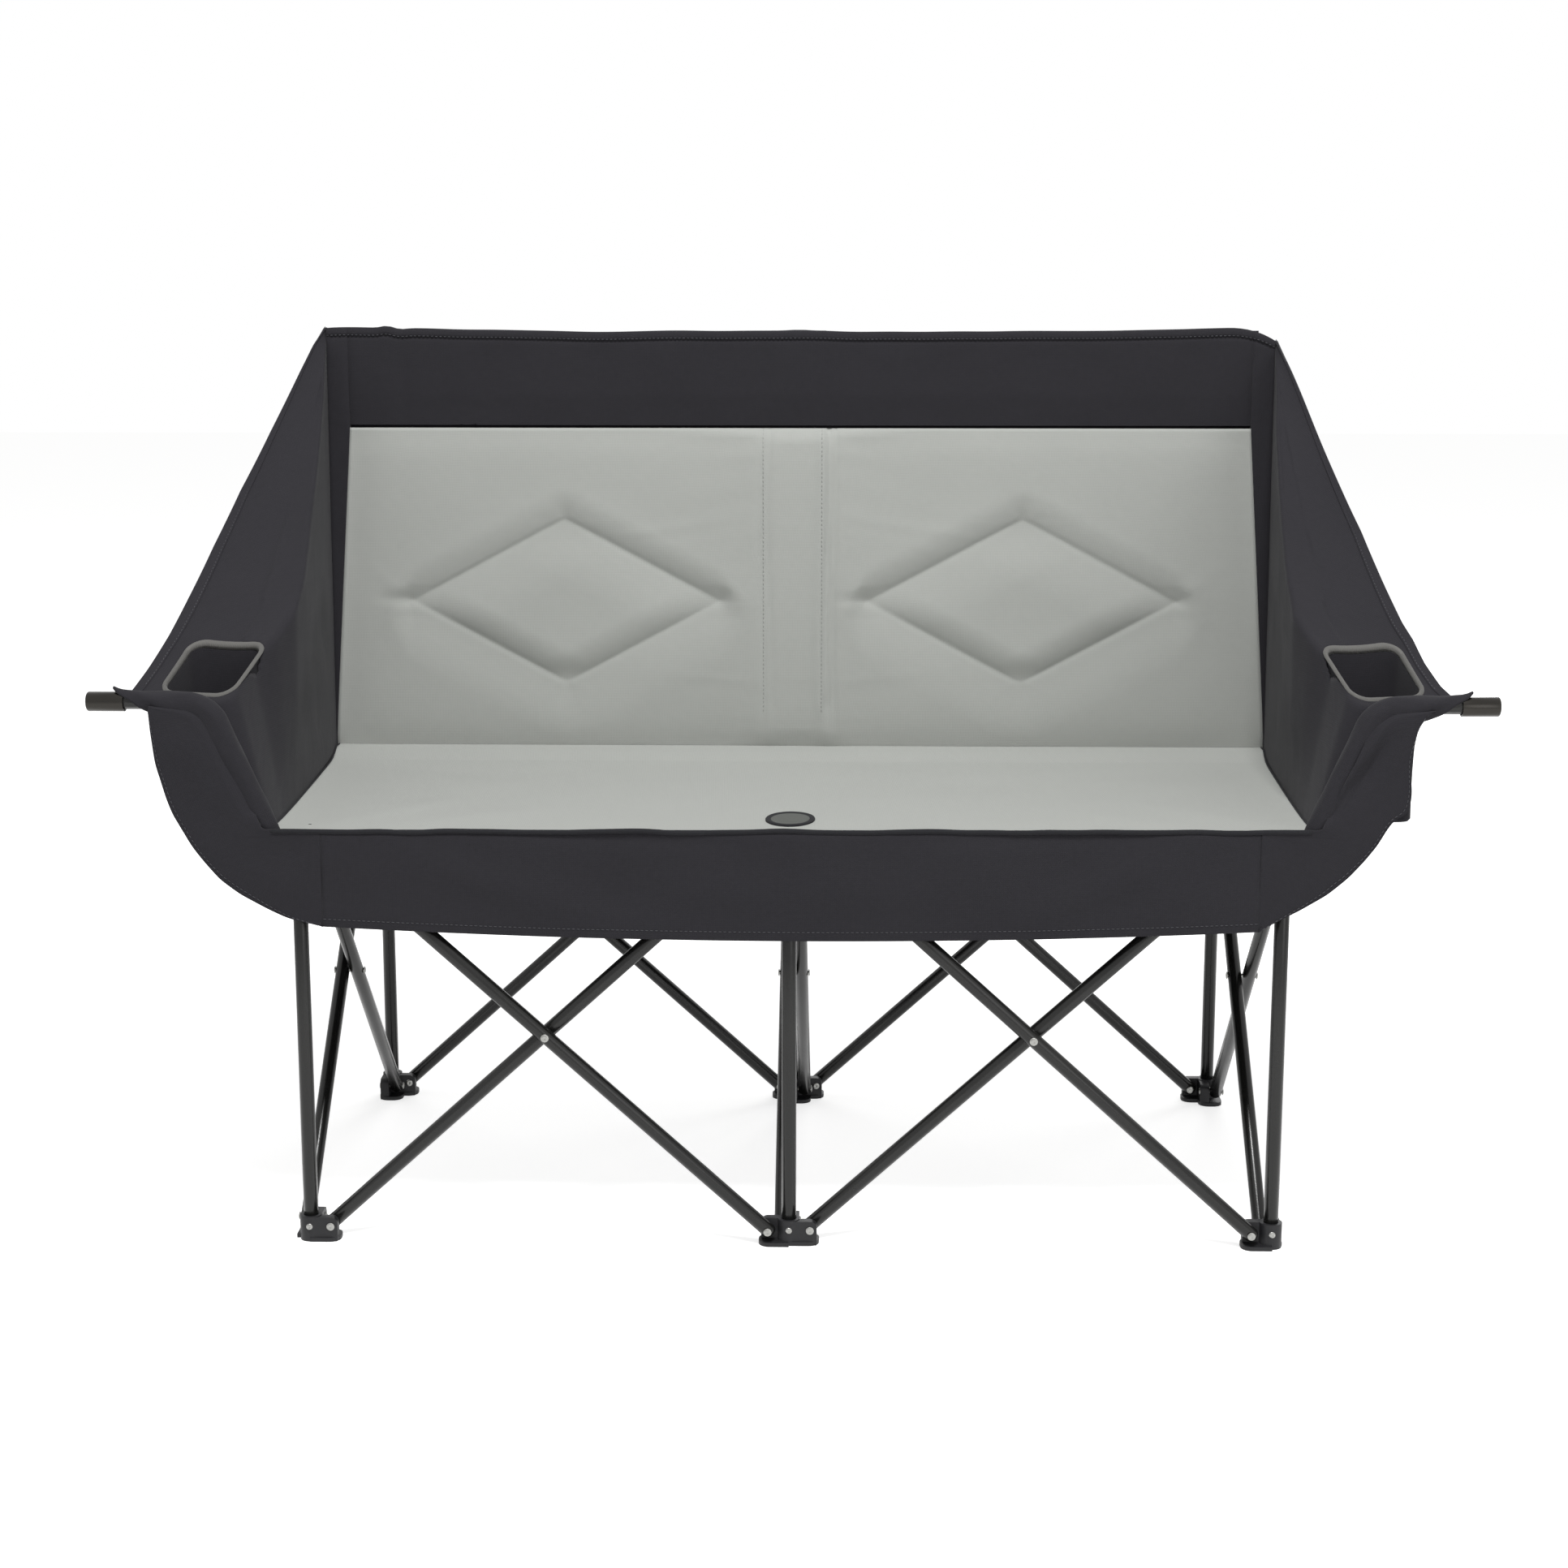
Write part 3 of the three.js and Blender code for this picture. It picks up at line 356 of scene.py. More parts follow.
def ribbed_tape(name, base):
    """Grosgrain binding tape: ribs across its width, sewn round the cup hole."""
    def look(tree):
        # Ribs every 1.6 mm, twice as coarse as real so that they show
        ribs = bands(tree, on_cloth(tree), 1.603, "X", Distortion=0.3)
        return {"Base Color": shaded(tree, base, ribs, 0.86, 1.06), "Roughness": 0.7, "Sheen Weight": 0.1,
                "Normal": relief_of(tree, ribs, 0.5, 0.4)}
    return principled(name, look)


_made = {}


def material_of(kind):
    """Each finish is made once, the first time that a piece asks for it."""
    if kind not in _made:
        tones = colours()
        makers = {
            "pad": lambda: woven_cloth("woven_polyester_grey", tones.pad, 0.08, 0.03, 0.85, 0.06),
            "dark": lambda: woven_cloth("woven_polyester_charcoal", tones.dark, 0.30, 0.10, 0.9, 0.05),
            "tube": lambda: coated_steel("powder_coated_steel", tones.tube, 0.24, 0.1, 1.4286, 0.2),
            "cap": lambda: coated_steel("lacquered_metal_cap", tones.cap, 0.24, 0.85, 2, 0.05),
            "plastic": lambda: moulded_nylon("moulded_nylon", tones.plastic),
            "steel": lambda: plated_steel("zinc_plated_steel", tones.steel),
            "rim": lambda: ribbed_tape("grosgrain_tape", tones.rim),
            "patch": lambda: woven_cloth("woven_label_cloth", tones.patch, 0.05, 0.10, 0.8, 0.05),
            "edging": lambda: woven_cloth("woven_edging", tones.edging, 0.05, 0.10, 0.9, 0.04),
            "thread": lambda: moulded_nylon("spun_thread", tones.thread),
            "pad_thread": lambda: moulded_nylon("spun_grey_thread", tones.pad_thread),
        }
        _made[kind] = makers[kind]()
    return _made[kind]


# Modelling tools


def pick(*objects):
    """Selects these objects and nothing else, the last one active."""
    bpy.ops.object.select_all(action="DESELECT")
    for one in objects:
        one.select_set(True)
    bpy.context.view_layer.objects.active = objects[-1]


def open_edit(obj, kind, test):
    """Opens edit mode with only the faces, edges or points selected that pass the test."""
    pick(obj)
    bpy.ops.object.mode_set(mode="EDIT")
    bpy.ops.mesh.select_mode(type=kind)
    bpy.ops.mesh.select_all(action="DESELECT")
    mesh = bmesh.from_edit_mesh(obj.data)
    for item in {"VERT": mesh.verts, "EDGE": mesh.edges, "FACE": mesh.faces}[kind]:
        if test(item):
            item.select_set(True)
    mesh.select_flush_mode()
    bmesh.update_edit_mesh(obj.data)


def close_edit():
    bpy.ops.object.mode_set(mode="OBJECT")


def use_modifier(obj, kind, **settings):
    modifier = obj.modifiers.new(kind.lower(), kind)
    for name, value in settings.items():
        setattr(modifier, name, value)
    pick(obj)
    bpy.ops.object.modifier_apply(modifier=modifier.name)


def add_cylinder(radius, from_z, to_z, sides, x=0.0, y=0.0):
    """A cylinder standing at its place, in millimetres, with everything else deselected."""
    bpy.ops.object.select_all(action="DESELECT")
    bpy.ops.mesh.primitive_cylinder_add(
        vertices=sides, radius=radius * MM, depth=(to_z - from_z) * MM,
        location=(x * MM, y * MM, (from_z + to_z) / 2 * MM))
    obj = bpy.context.active_object
    pick(obj)
    bpy.ops.object.transform_apply(location=True, rotation=True, scale=True)
    return obj


def flat_end(way):
    """Picks the flat end that faces up (1) or down (-1) of a standing cylinder."""
    return lambda face: face.normal.z * way > 0.99 and len(face.verts) > 4


def push(height):
    """Extrudes the picked faces by a height along Z, in millimetres."""
    bpy.ops.mesh.extrude_region_move(TRANSFORM_OT_translate={"value": (0, 0, height * MM)})


def dome_ends(obj, insets, ways=(1, -1)):
    """Rounds the flat ends of a standing cylinder: each step insets the end and moves it out."""
    for way in ways:
        open_edit(obj, "FACE", flat_end(way))
        for inset, lift in insets:
            bpy.ops.mesh.inset(thickness=inset * MM)
            bpy.ops.transform.translate(value=(0, 0, way * lift * MM))
        close_edit()


def smooth(obj, degrees=35):
    pick(obj)
    bpy.ops.object.shade_smooth_by_angle(angle=math.radians(degrees))


def copy_of(obj, name, matrix):
    """A copy with its own mesh, put in place with its object left at the origin."""
    made = bpy.data.objects.new(name, obj.data.copy())
    bpy.context.scene.collection.objects.link(made)
    made.data.transform(matrix)
    made.data.update()
    return made


def discard(*objects):
    for one in objects:
        mesh = one.data
        bpy.data.objects.remove(one)
        bpy.data.meshes.remove(mesh)


def clothe(obj, *kinds):
    """Gives a piece its finishes, and keeps which face has which."""
    marks = [face.material_index for face in obj.data.polygons]
    obj.data.materials.clear()
    for kind in kinds:
        obj.data.materials.append(material_of(kind))
    obj.data.polygons.foreach_set("material_index", marks)
    return obj


def settle(obj, name, body, replaced=()):
    """Names a finished piece, puts it on its body and hides the CAD nodes that it stands for."""
    obj.name = name
    obj.data.name = name
    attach(obj, body)
    if replaced:
        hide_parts(*replaced)
    return obj


def rivet_mesh(reach):
    """A rivet along Z: a pin with a domed head at both ends."""
    obj = add_cylinder(RIVET, -reach, reach, RIVET_SIDES)
    for way in (1, -1):
        open_edit(obj, "FACE", flat_end(way))
        push(-way * RIVET_SINK)
        bpy.ops.transform.resize(value=(RIVET_HEAD / RIVET, RIVET_HEAD / RIVET, 1), orient_type="GLOBAL")
        push(way * RIVET_RISE)
        for inset, lift in RIVET_DOME:
            bpy.ops.mesh.inset(thickness=inset * MM)
            bpy.ops.transform.translate(value=(0, 0, way * lift * MM))
        close_edit()
    smooth(obj, 40)
    return obj


def lying(axis):
    """Turns a piece modelled along Z so that it lies along X or Y."""
    return {"x": Matrix.Rotation(math.pi / 2, 4, "Y"), "y": Matrix.Rotation(-math.pi / 2, 4, "X")}[axis]


def at(x, y, z):
    return Matrix.Translation((x * MM, y * MM, z * MM))


# Cloth tools


def lerp(a, b, t):
    return a + (b - a) * t


def ramp(value, start, length):
    """0 before the start and 1 past the length, straight between; a negative length runs the other way."""
    return np.clip((value - start) / length, 0, 1)


def hump(value, centre, width):
    """A smooth rise round a centre."""
    return np.exp(-np.square((value - centre) / width))


def crease(value, centre, width):
    """A sharp fold at a centre that fades to both sides."""
    return np.exp(-np.abs(value - centre) / width)


def domed(t):
    """0 at 0 and 1, full and flat between."""
    return 1 - (2 * t - 1) ** 4


def domed_over(value, half):
    """The same dome from minus half to half."""
    return domed(np.clip((value / half + 1) / 2, 0, 1))


def round_angles(count):
    return np.linspace(0, 2 * np.pi, count + 1)[:-1]


def spread(*parts):
    """Positions along an edge: a start, then pairs of an end and a number of steps to reach it."""
    places = [np.array(parts[:1], float)]
    for end, steps in parts[1:]:
        places.append(np.linspace(places[-1][-1], end, steps + 1)[1:])
    return np.concatenate(places)


def closed(grid):
    """A grid of points whose last column repeats the first."""
    return np.concatenate([grid, grid[:, :1]], 1)


def run_along(points):
    """Lengths along a line of points, from its start."""
    return np.concatenate([[0], np.cumsum(np.linalg.norm(np.diff(points, axis=0), axis=1))])


def evenly(points, shares):
    """Points at given shares of a line's length."""
    run = run_along(points)
    return np.stack([np.interp(shares, run / run[-1], values) for values in points.T], 1)


def border_of(rows, columns):
    """Numbers of the border points of a grid, once round."""
    rim = ([(0, j) for j in range(columns)] + [(i, columns - 1) for i in range(1, rows)]
           + [(rows - 1, j) for j in range(columns - 2, -1, -1)] + [(i, 0) for i in range(rows - 2, 0, -1)])
    return [i * columns + j for i, j in rim]


def waves(x, y, seed, size, octaves=3, finer=1.7):
    """Smooth seeded unevenness between about -1 and 1 over a surface measured in millimetres."""
    rng = np.random.default_rng(seed)
    total = np.zeros_like(x, float)
    weight = 0.0
    for octave in range(octaves):
        for _ in range(4):
            turn = rng.uniform(0, 2 * math.pi)
            phase = rng.uniform(0, 2 * math.pi)
            length = size / finer ** octave * rng.uniform(0.8, 1.25)
            across = x * math.cos(turn) + y * math.sin(turn)
            total += np.sin(across * 2 * math.pi / length + phase) / finer ** octave
        weight += 2.0 / finer ** octave
    return total / weight


def ridge(x, y, start, end, width):
    """How near a point is to a fold between two points: 1 on it, 0 well away, fading at its ends."""
    start, end = np.array(start, float), np.array(end, float)
    along = end - start
    length = np.hypot(*along)
    along = along / length
    s = ((x - start[0]) * along[0] + (y - start[1]) * along[1]) / length
    d = -(x - start[0]) * along[1] + (y - start[1]) * along[0]
    inside = np.clip(s, 0, 1)
    fade = np.sin(math.pi * lerp(0.12, 0.88, inside)) * hump((s - inside) * length, 0, width)
    return fade * hump(d, 0, width)


def folds_over(x, y, folds):
    """The sum of several folds, each with its start, end, width and lift."""
    return sum(lift * ridge(x, y, start, end, width) for start, end, width, lift in folds)


def lengths_along(points, axis):
    steps = np.linalg.norm(np.diff(points, axis=axis), axis=2)
    zero = np.zeros_like(np.take(points[..., 0], [0], axis=axis))
    return np.concatenate([zero, np.cumsum(steps, axis=axis)], axis=axis)


def mesh_from(name, points, faces, uv, marks=None):
    """A mesh in metres from points in millimetres, with the cloth's own map in metres."""
    mesh = bpy.data.meshes.new(name)
    mesh.from_pydata((np.asarray(points) * MM).tolist(), [], faces)
    layer = mesh.uv_layers.new(name="Cloth")
    index = np.zeros(len(mesh.loops), int)
    mesh.loops.foreach_get("vertex_index", index)
    layer.data.foreach_set("uv", (np.asarray(uv)[index] * MM).ravel())
    if marks is not None:
        mesh.polygons.foreach_set("material_index", marks)
    mesh.polygons.foreach_set("use_smooth", [True] * len(mesh.polygons))
    mesh.update()
    obj = bpy.data.objects.new(name, mesh)
    bpy.context.scene.collection.objects.link(obj)
    return obj


def grid_faces(rows, columns, first=0, flip=False):
    """Quads over a grid of points that is stored row by row."""
    a = (np.arange(rows - 1)[:, None] * columns + np.arange(columns - 1)[None, :]).ravel()
    b = a + columns
    quads = np.stack([a, b, b + 1, a + 1], 1) + first
    return quads[:, ::-1] if flip else quads


def map_of(points):
    """The cloth's own map of a grid: lengths along its columns and its rows."""
    return np.stack([lengths_along(points, 0), lengths_along(points, 1)], 2).reshape(-1, 2)


def cloth_grid(name, points, flip=False):
    """One layer of cloth over a grid of points, mapped by its real lengths."""
    faces = grid_faces(*points.shape[:2], flip=flip)
    return mesh_from(name, points.reshape(-1, 3), faces.tolist(), map_of(points))


def thicken(obj, thickness, offset=0.0):
    use_modifier(obj, "SOLIDIFY", thickness=thickness, offset=offset, use_even_offset=False)
    return obj


def weld(obj):
    use_modifier(obj, "WELD", merge_threshold=WELD)
    return obj


def closed_pad(name, face, rear_depth, axis):
    """A pad: a full face over a grid, a wall round it and a flat rear at its own depth along an axis."""
    rows, columns = face.shape[:2]
    count = rows * columns
    rim = border_of(rows, columns)
    rear = face.reshape(-1, 3)[rim].copy()
    rear[:, axis] = rear_depth(rear)
    uv = map_of(face)
    uv = np.concatenate([uv, uv[rim] + 10])
    faces = grid_faces(rows, columns).tolist()
    turn = len(rim)
    walls = [[rim[k], rim[(k + 1) % turn], count + (k + 1) % turn, count + k] for k in range(turn)]
    marks = [0] * len(faces) + [1] * (len(walls) + 1)
    rear_face = [count + k for k in range(turn)]
    points = np.concatenate([face.reshape(-1, 3), rear])
    return face_out(mesh_from(name, points, faces + walls + [rear_face], uv, marks))


def face_out(obj):
    pick(obj)
    bpy.ops.object.mode_set(mode="EDIT")
    bpy.ops.mesh.select_all(action="SELECT")
    bpy.ops.mesh.normals_make_consistent(inside=False)
    bpy.ops.object.mode_set(mode="OBJECT")
    return obj


def stitches(line, outwards, radius, lift):
    """Sewing thread along a line of points: slim six-sided beads, one a stitch, half sunk in the cloth."""
    line = np.asarray(line, float)
    outwards = np.broadcast_to(np.asarray(outwards, float), line.shape)
    run = run_along(line)
    pitch = sizes().stitch / MM
    count = max(1, int(run[-1] / pitch))
    points, faces = [], []
    ring = [(math.cos(turn), math.sin(turn)) for turn in round_angles(6)]

    def point_at(place, values):
        return np.array([np.interp(place, run, values[:, c]) for c in range(3)])

    def unit(vector):
        return vector / max(np.linalg.norm(vector), 1e-9)

    for k in range(count):
        middle_at = (k + 0.5) * run[-1] / count
        ends = [point_at(middle_at + share * pitch, line) for share in (-STITCH_SHARE / 2, STITCH_SHARE / 2)]
        up = unit(point_at(middle_at, outwards))
        across = np.cross(up, unit(ends[1] - ends[0]))
        first = len(points)
        for share, wide, raised in STITCH_RINGS:
            middle = lerp(ends[0], ends[1], share) + up * (lift if raised else -STITCH_SINK)
            points += [middle + radius * wide * (c * across + s * up) for c, s in ring]
        for band in range(len(STITCH_RINGS) - 1):
            for c in range(6):
                a, b = first + band * 6 + c, first + band * 6 + (c + 1) % 6
                faces.append([a, b, b + 6, a + 6])
        faces.append([first + c for c in range(5, -1, -1)])
        faces.append([len(points) - 6 + c for c in range(6)])
    return mesh_from("stitches", points, faces, np.array(points)[:, :2])


def join_in(obj, parts, kind):
    """Joins sewn details into a cloth, with a finish of their own."""
    pick(*[clothe(part, kind) for part in parts], obj)
    bpy.ops.object.join()
    return obj


def sew(obj, kind, lines, radius=0.5, lift=0.3):
    """Stitches a cloth along lines of points, each given with the way that it faces."""
    return join_in(obj, [stitches(line, outwards, radius, lift) for line, outwards in lines], kind)


def normals_of(points):
    along_rows = np.gradient(points, axis=0)
    along_columns = np.gradient(points, axis=1)
    normal = np.cross(along_rows, along_columns)
    return normal / np.maximum(np.linalg.norm(normal, axis=2, keepdims=True), 1e-9)


def swell(name, face, rear, held, cap, pressure):
    """Inflates a closed pad as cloth under pressure, with its seams held, and returns how far each
    point of its face moved, never further than the cap."""
    steps = 20
    rows, columns = face.shape[:2]
    count = rows * columns
    points = np.concatenate([face.reshape(-1, 3), rear.reshape(-1, 3)])
    quads = np.concatenate([grid_faces(rows, columns), grid_faces(rows, columns, first=count, flip=True)])
    rim = [i * columns for i in range(rows)], [i * columns + columns - 1 for i in range(rows)]
    walls = []
    for edge, flip in ((rim[0], False), (rim[1], True), (list(range(columns)), True),
                       ([(rows - 1) * columns + j for j in range(columns)], False)):
        for a, b in zip(edge[:-1], edge[1:]):
            quad = [a, a + count, b + count, b]
            walls.append(quad[::-1] if flip else quad)
    obj = mesh_from(name, points, quads.tolist() + walls, points[:, :2])
    group = obj.vertex_groups.new(name="held")
    group.add([int(k) for k in np.flatnonzero(held.ravel())] + list(range(count, 2 * count)), 1.0, "REPLACE")
    cloth = obj.modifiers.new("Cloth", "CLOTH")
    cloth.settings.vertex_group_mass = "held"
    cloth.settings.quality = 4
    cloth.settings.mass = 0.3
    cloth.settings.use_pressure = True
    cloth.settings.uniform_pressure_force = pressure
    cloth.settings.effector_weights.gravity = 0.0
    cloth.collision_settings.use_collision = False
    cloth.point_cache.frame_start = 1
    cloth.point_cache.frame_end = steps
    scene = bpy.context.scene
    for number in range(1, steps + 1):
        scene.frame_set(number)
    solved = obj.evaluated_get(bpy.context.evaluated_depsgraph_get())
    found = np.zeros(len(solved.data.vertices) * 3)
    solved.data.vertices.foreach_get("co", found)
    moved = found.reshape(-1, 3)[:count] / MM - face.reshape(-1, 3)
    scene.frame_set(1)
    discard(obj)
    far = np.linalg.norm(moved, axis=1)
    print(f"{name}: the padding swelled by up to {far.max():.2f} mm before the cap of {cap:.1f} mm")
    share = cap * np.tanh(far / cap) / np.maximum(far, 1e-9)
    return (moved * share[:, None]).reshape(rows, columns, 3)


def refine(values):
    """A grid with its steps cut in two, straight between the old points."""
    for axis in (0, 1):
        old = np.moveaxis(values, axis, 0)
        new = np.empty((old.shape[0] * 2 - 1,) + old.shape[1:])
        new[::2] = old
        new[1::2] = (old[1:] + old[:-1]) / 2
        values = np.moveaxis(new, 0, axis)
    return values


def soften(values, passes, kept=None):
    """Evens out a grid a little, apart from its border and the points that are kept."""
    for _ in range(passes):
        even = values.copy()
        even[1:-1, 1:-1] = (values[1:-1, 1:-1] * 4 + values[:-2, 1:-1] + values[2:, 1:-1]
                            + values[1:-1, :-2] + values[1:-1, 2:]) / 8
        if kept is not None:
            even[kept] = values[kept]
        values = even
    return values


# Frame pieces


class LOVESEAT_OT_bars(bpy.types.Operator):
    """Adds the fourteen crossed bars: powder-coated tubes with closed, rounded ends"""

    bl_idname = "loveseat.bars"
    bl_label = "Crossed bars"

    def execute(self, context):
        half = math.hypot(SPAN, BAR_RISE) / 2 + BAR_REACH
        tip = sum(lift for _, lift in BAR_TIP) + BAR_TIP_ROOM
        plain = add_cylinder(TUBE, tip - half, half - tip, TUBE_SIDES)
        dome_ends(plain, BAR_TIP)
        smooth(plain, 50)
        clothe(plain, "tube")
        for name, foot, hub, axis in self.places():
            along = (hub - foot).normalized()
            turn = Matrix((axis.cross(along), axis, along)).transposed().to_4x4()
            bar = copy_of(plain, f"tube_{name}", at(*(hub + foot) / 2) @ turn)
            settle(bar, f"tube_{name}", f"bar_{name}", [f"bar_{name}"])
        discard(plain)
        return {"FINISHED"}

    def places(self):
        """Name, lower pin, upper pin and pin axis of each bar."""
        for row_name, row in ROWS:
            for bay_name, bay in SIDES:
                for lean, layer in (("falling", -1), ("rising", 1)):
                    y = row * HALF_BAY + layer * LAYER
                    low, high = [bay * HALF_BAY - way * layer * SPAN / 2 for way in (1, -1)]
                    yield (f"{row_name}_{bay_name}_{lean}", Vector((low, y, FOOT_PIN)),
                           Vector((high, y, HUB_PIN)), Vector((0, 1, 0)))
        for column_name, column in COLUMNS:
            for end_name, row in (("fore", -1), ("back", 1)):
                x = column * BAY + row * LAYER
                yield (f"{column_name}_{end_name}", Vector((x, row * SPAN / 2, FOOT_PIN)),
                       Vector((x, -row * SPAN / 2, HUB_PIN)), Vector((1, 0, 0)))


class LOVESEAT_OT_rivets(bpy.types.Operator):
    """Adds the seven rivets where the bars cross"""

    bl_idname = "loveseat.rivets"
    bl_label = "Crossing rivets"

    def execute(self, context):
        crossing = (FOOT_PIN + HUB_PIN) / 2
        plain = rivet_mesh(2 * LAYER + FIT)
        clothe(plain, "steel")
        first = {"front_left": "bar_front_left_falling", "front_right": "bar_front_right_rising",
                 "rear_left": "bar_rear_left_falling", "rear_right": "bar_rear_right_rising",
                 "left": "bar_left_back", "centre": "bar_centre_back", "right": "bar_right_back"}
        for name, body in first.items():
            words = name.split("_")
            side = dict(COLUMNS)[words[-1]]
            if len(words) == 2:
                place, axis = (side * HALF_BAY, dict(ROWS)[words[0]] * HALF_BAY, crossing), "y"
            else:
                place, axis = (side * BAY, 0, crossing), "x"
            rivet = copy_of(plain, f"pin_{name}", at(*place) @ lying(axis))
            settle(rivet, f"pin_{name}", body, [f"rivet_{name}"])
        discard(plain)
        return {"FINISHED"}


class LOVESEAT_OT_posts(bpy.types.Operator):
    """Adds the six posts and gives the rods inside the front ones their finish"""

    bl_idname = "loveseat.posts"
    bl_label = "Posts"

    def execute(self, context):
        for row_name, row in ROWS:
            top = REAR_POST_TOP if row > 0 else FRONT_POST_TOP
            tip = POST_TIPS[row_name]
            straight = top - sum(lift for _, lift in tip if lift > 0)
            plain = add_cylinder(TUBE, POST_BOTTOM, straight, POST_SIDES)
            dome_ends(plain, tip)
            smooth(plain, 45)
            clothe(plain, "tube")
            for column_name, column in COLUMNS:
                name = f"{row_name}_{column_name}"
                post = copy_of(plain, f"upright_{name}", at(column * BAY, row * HALF_BAY, 0))
                settle(post, f"upright_{name}", name, [f"post_{name}"])
            discard(plain)
        rods = [f"rod_front_{column_name}" for column_name, _ in COLUMNS]
        for name in rods + [f"arm_tube_{side_name}" for side_name, _ in SIDES]:
            clothe(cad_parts[name], "tube")
        return {"FINISHED"}


def arms_of(row, column, hub):
    """The bars that end at a post: axis, direction and the side of the row that each one takes."""
    arms = [("y", -row, -row if hub else row)]
    if column > -1:
        arms.append(("x", -1, 1 if hub else -1))
    if column < 1:
        arms.append(("x", 1, -1 if hub else 1))
    return arms


def block(x, y, z, rounded):
    """A moulded block between two corners, its edges rounded where the test picks them."""
    bpy.ops.object.select_all(action="DESELECT")
    low, high = [np.array([a[k] for a in (x, y, z)], float) for k in (0, 1)]
    bpy.ops.mesh.primitive_cube_add(size=1, location=tuple((low + high) / 2 * MM))
    obj = bpy.context.active_object
    obj.scale = tuple((high - low) * MM)
    pick(obj)
    bpy.ops.object.transform_apply(location=True, rotation=True, scale=True)
    for radius, segments, test in rounded:
        open_edit(obj, "EDGE", test)
        bpy.ops.mesh.bevel(offset=radius * MM, segments=segments, affect="EDGES")
        close_edit()
    return obj


def edge_middle(edge):
    return (edge.verts[0].co + edge.verts[1].co) / 2 / MM


def edge_at(axis, place, height):
    """Picks the upright or level edge of a block by its place along an axis and its height."""
    return lambda edge: (abs(edge_middle(edge)["xy".index(axis)] - place) < TOUCH
                         and abs(edge_middle(edge)[2] - height) < TOUCH)


def laid_out(axis, along, across):
    """Ranges in X and Y of a block that points along an axis."""
    along, across = sorted(along), sorted(across)
    return (along, across) if axis == "x" else (across, along)


def side_plate(arm, reach, rounds, heights):
    """The plate that carries one bar: a block with its outer end rounded as the mould draws it."""
    axis, toward, layer = arm
    x, y = laid_out(axis, (0, toward * reach), (-layer * PLATE, -layer * PLATE_GAP))
    rounded = [(rounds[k], steps, edge_at(axis, toward * reach, heights[k])) for k, steps in ((1, 6), (0, 4))]
    return block(x, y, heights, rounded)


def foot_flange(arm):
    """The flat flange under one bar, with a round nose."""
    axis, toward, layer = arm
    x, y = laid_out(axis, (0, toward * FLANGE_REACH), (-layer * FLANGE_INNER, layer * FLANGE_OUTER))
    nose = (FLANGE_NOSE, 7, edge_at(axis, toward * FLANGE_REACH, FLANGE_HEIGHT / 2))
    return block(x, y, (0, FLANGE_HEIGHT), [nose])


def merged(parts, edge):
    """One moulding out of overlapping blocks, with its sharp edges softened."""
    whole = parts[0]
    for part in parts[1:]:
        use_modifier(whole, "BOOLEAN", operation="UNION", object=part, solver="EXACT")
        discard(part)
    use_modifier(whole, "BEVEL", width=edge, segments=2, limit_method="ANGLE", angle_limit=math.radians(40),
                 harden_normals=False, use_clamp_overlap=True)
    smooth(whole, 35)
    return whole


def bored(whole, radius, from_z, to_z):
    cutter = add_cylinder(radius, from_z, to_z, 32)
    use_modifier(whole, "BOOLEAN", operation="DIFFERENCE", object=cutter, solver="EXACT")
    discard(cutter)
    return whole


def pins_of(arms, height, post_pin):
    """The rivets of one foot or hub, joined: one for each bar and one through the post."""
    parts = []
    for axis, toward, layer in arms:
        near, far = -layer * (PLATE + 2 * FIT), layer * (2 * LAYER + FIT)
        one = rivet_mesh(abs(far - near) / 2)
        shift = (near + far) / 2
        place = (toward * PIN_INSET, shift, height) if axis == "x" else (shift, toward * PIN_INSET, height)
        one.data.transform(at(*place) @ lying("y" if axis == "x" else "x"))
        parts.append(one)
    if post_pin:
        one = rivet_mesh(post_pin)
        one.data.transform(at(0, 0, height) @ Matrix.Diagonal((0.8, 1, 0.8, 1)) @ lying("y"))
        parts.append(one)
    pick(*parts)
    bpy.ops.object.join()
    return bpy.context.active_object


def settle_fitting(moulding, pins, word, node, body, column, row, height):
    """Colours a moulding and its rivets, moves both to their post and names them."""
    smooth(moulding, 35)
    name = node.split("_", 1)[1]
    for one, title, kind, slot, replaced in (
            (moulding, f"{word}_{name}", "plastic", "moulded_plastic", [node]),
            (pins, f"{word}_pins_{name}", "steel", "rivet_steel", ())):
        clothe(one, kind)
        one.data.transform(at(column * BAY, row * HALF_BAY, height))
        settle(one, title, body, replaced)


class LOVESEAT_OT_feet(bpy.types.Operator):
    """Adds the six moulded feet with the rivets of their bars"""

    bl_idname = "loveseat.feet"
    bl_label = "Feet"

    def execute(self, context):
        for row_name, row in ROWS:
            for column_name, column in COLUMNS:
                arms = arms_of(row, column, False)
                parts = [add_cylinder(FOOT_COLLAR, 0, FOOT_HEIGHT + 1, POST_SIDES)]
                for arm in arms:
                    parts.append(side_plate(arm, FOOT_PLATE, (1.5, 7), (0, FOOT_HEIGHT)))
                    parts.append(foot_flange(arm))
                foot = bored(merged(parts, sizes().edge), TUBE + 0.25, FOOT_FLOOR, 40)
                body = f"{row_name}_{column_name}"
                pins = pins_of(arms, FOOT_PIN, 12.0)
                settle_fitting(foot, pins, "shoe", f"foot_{body}", body, column, row, 0)
        return {"FINISHED"}


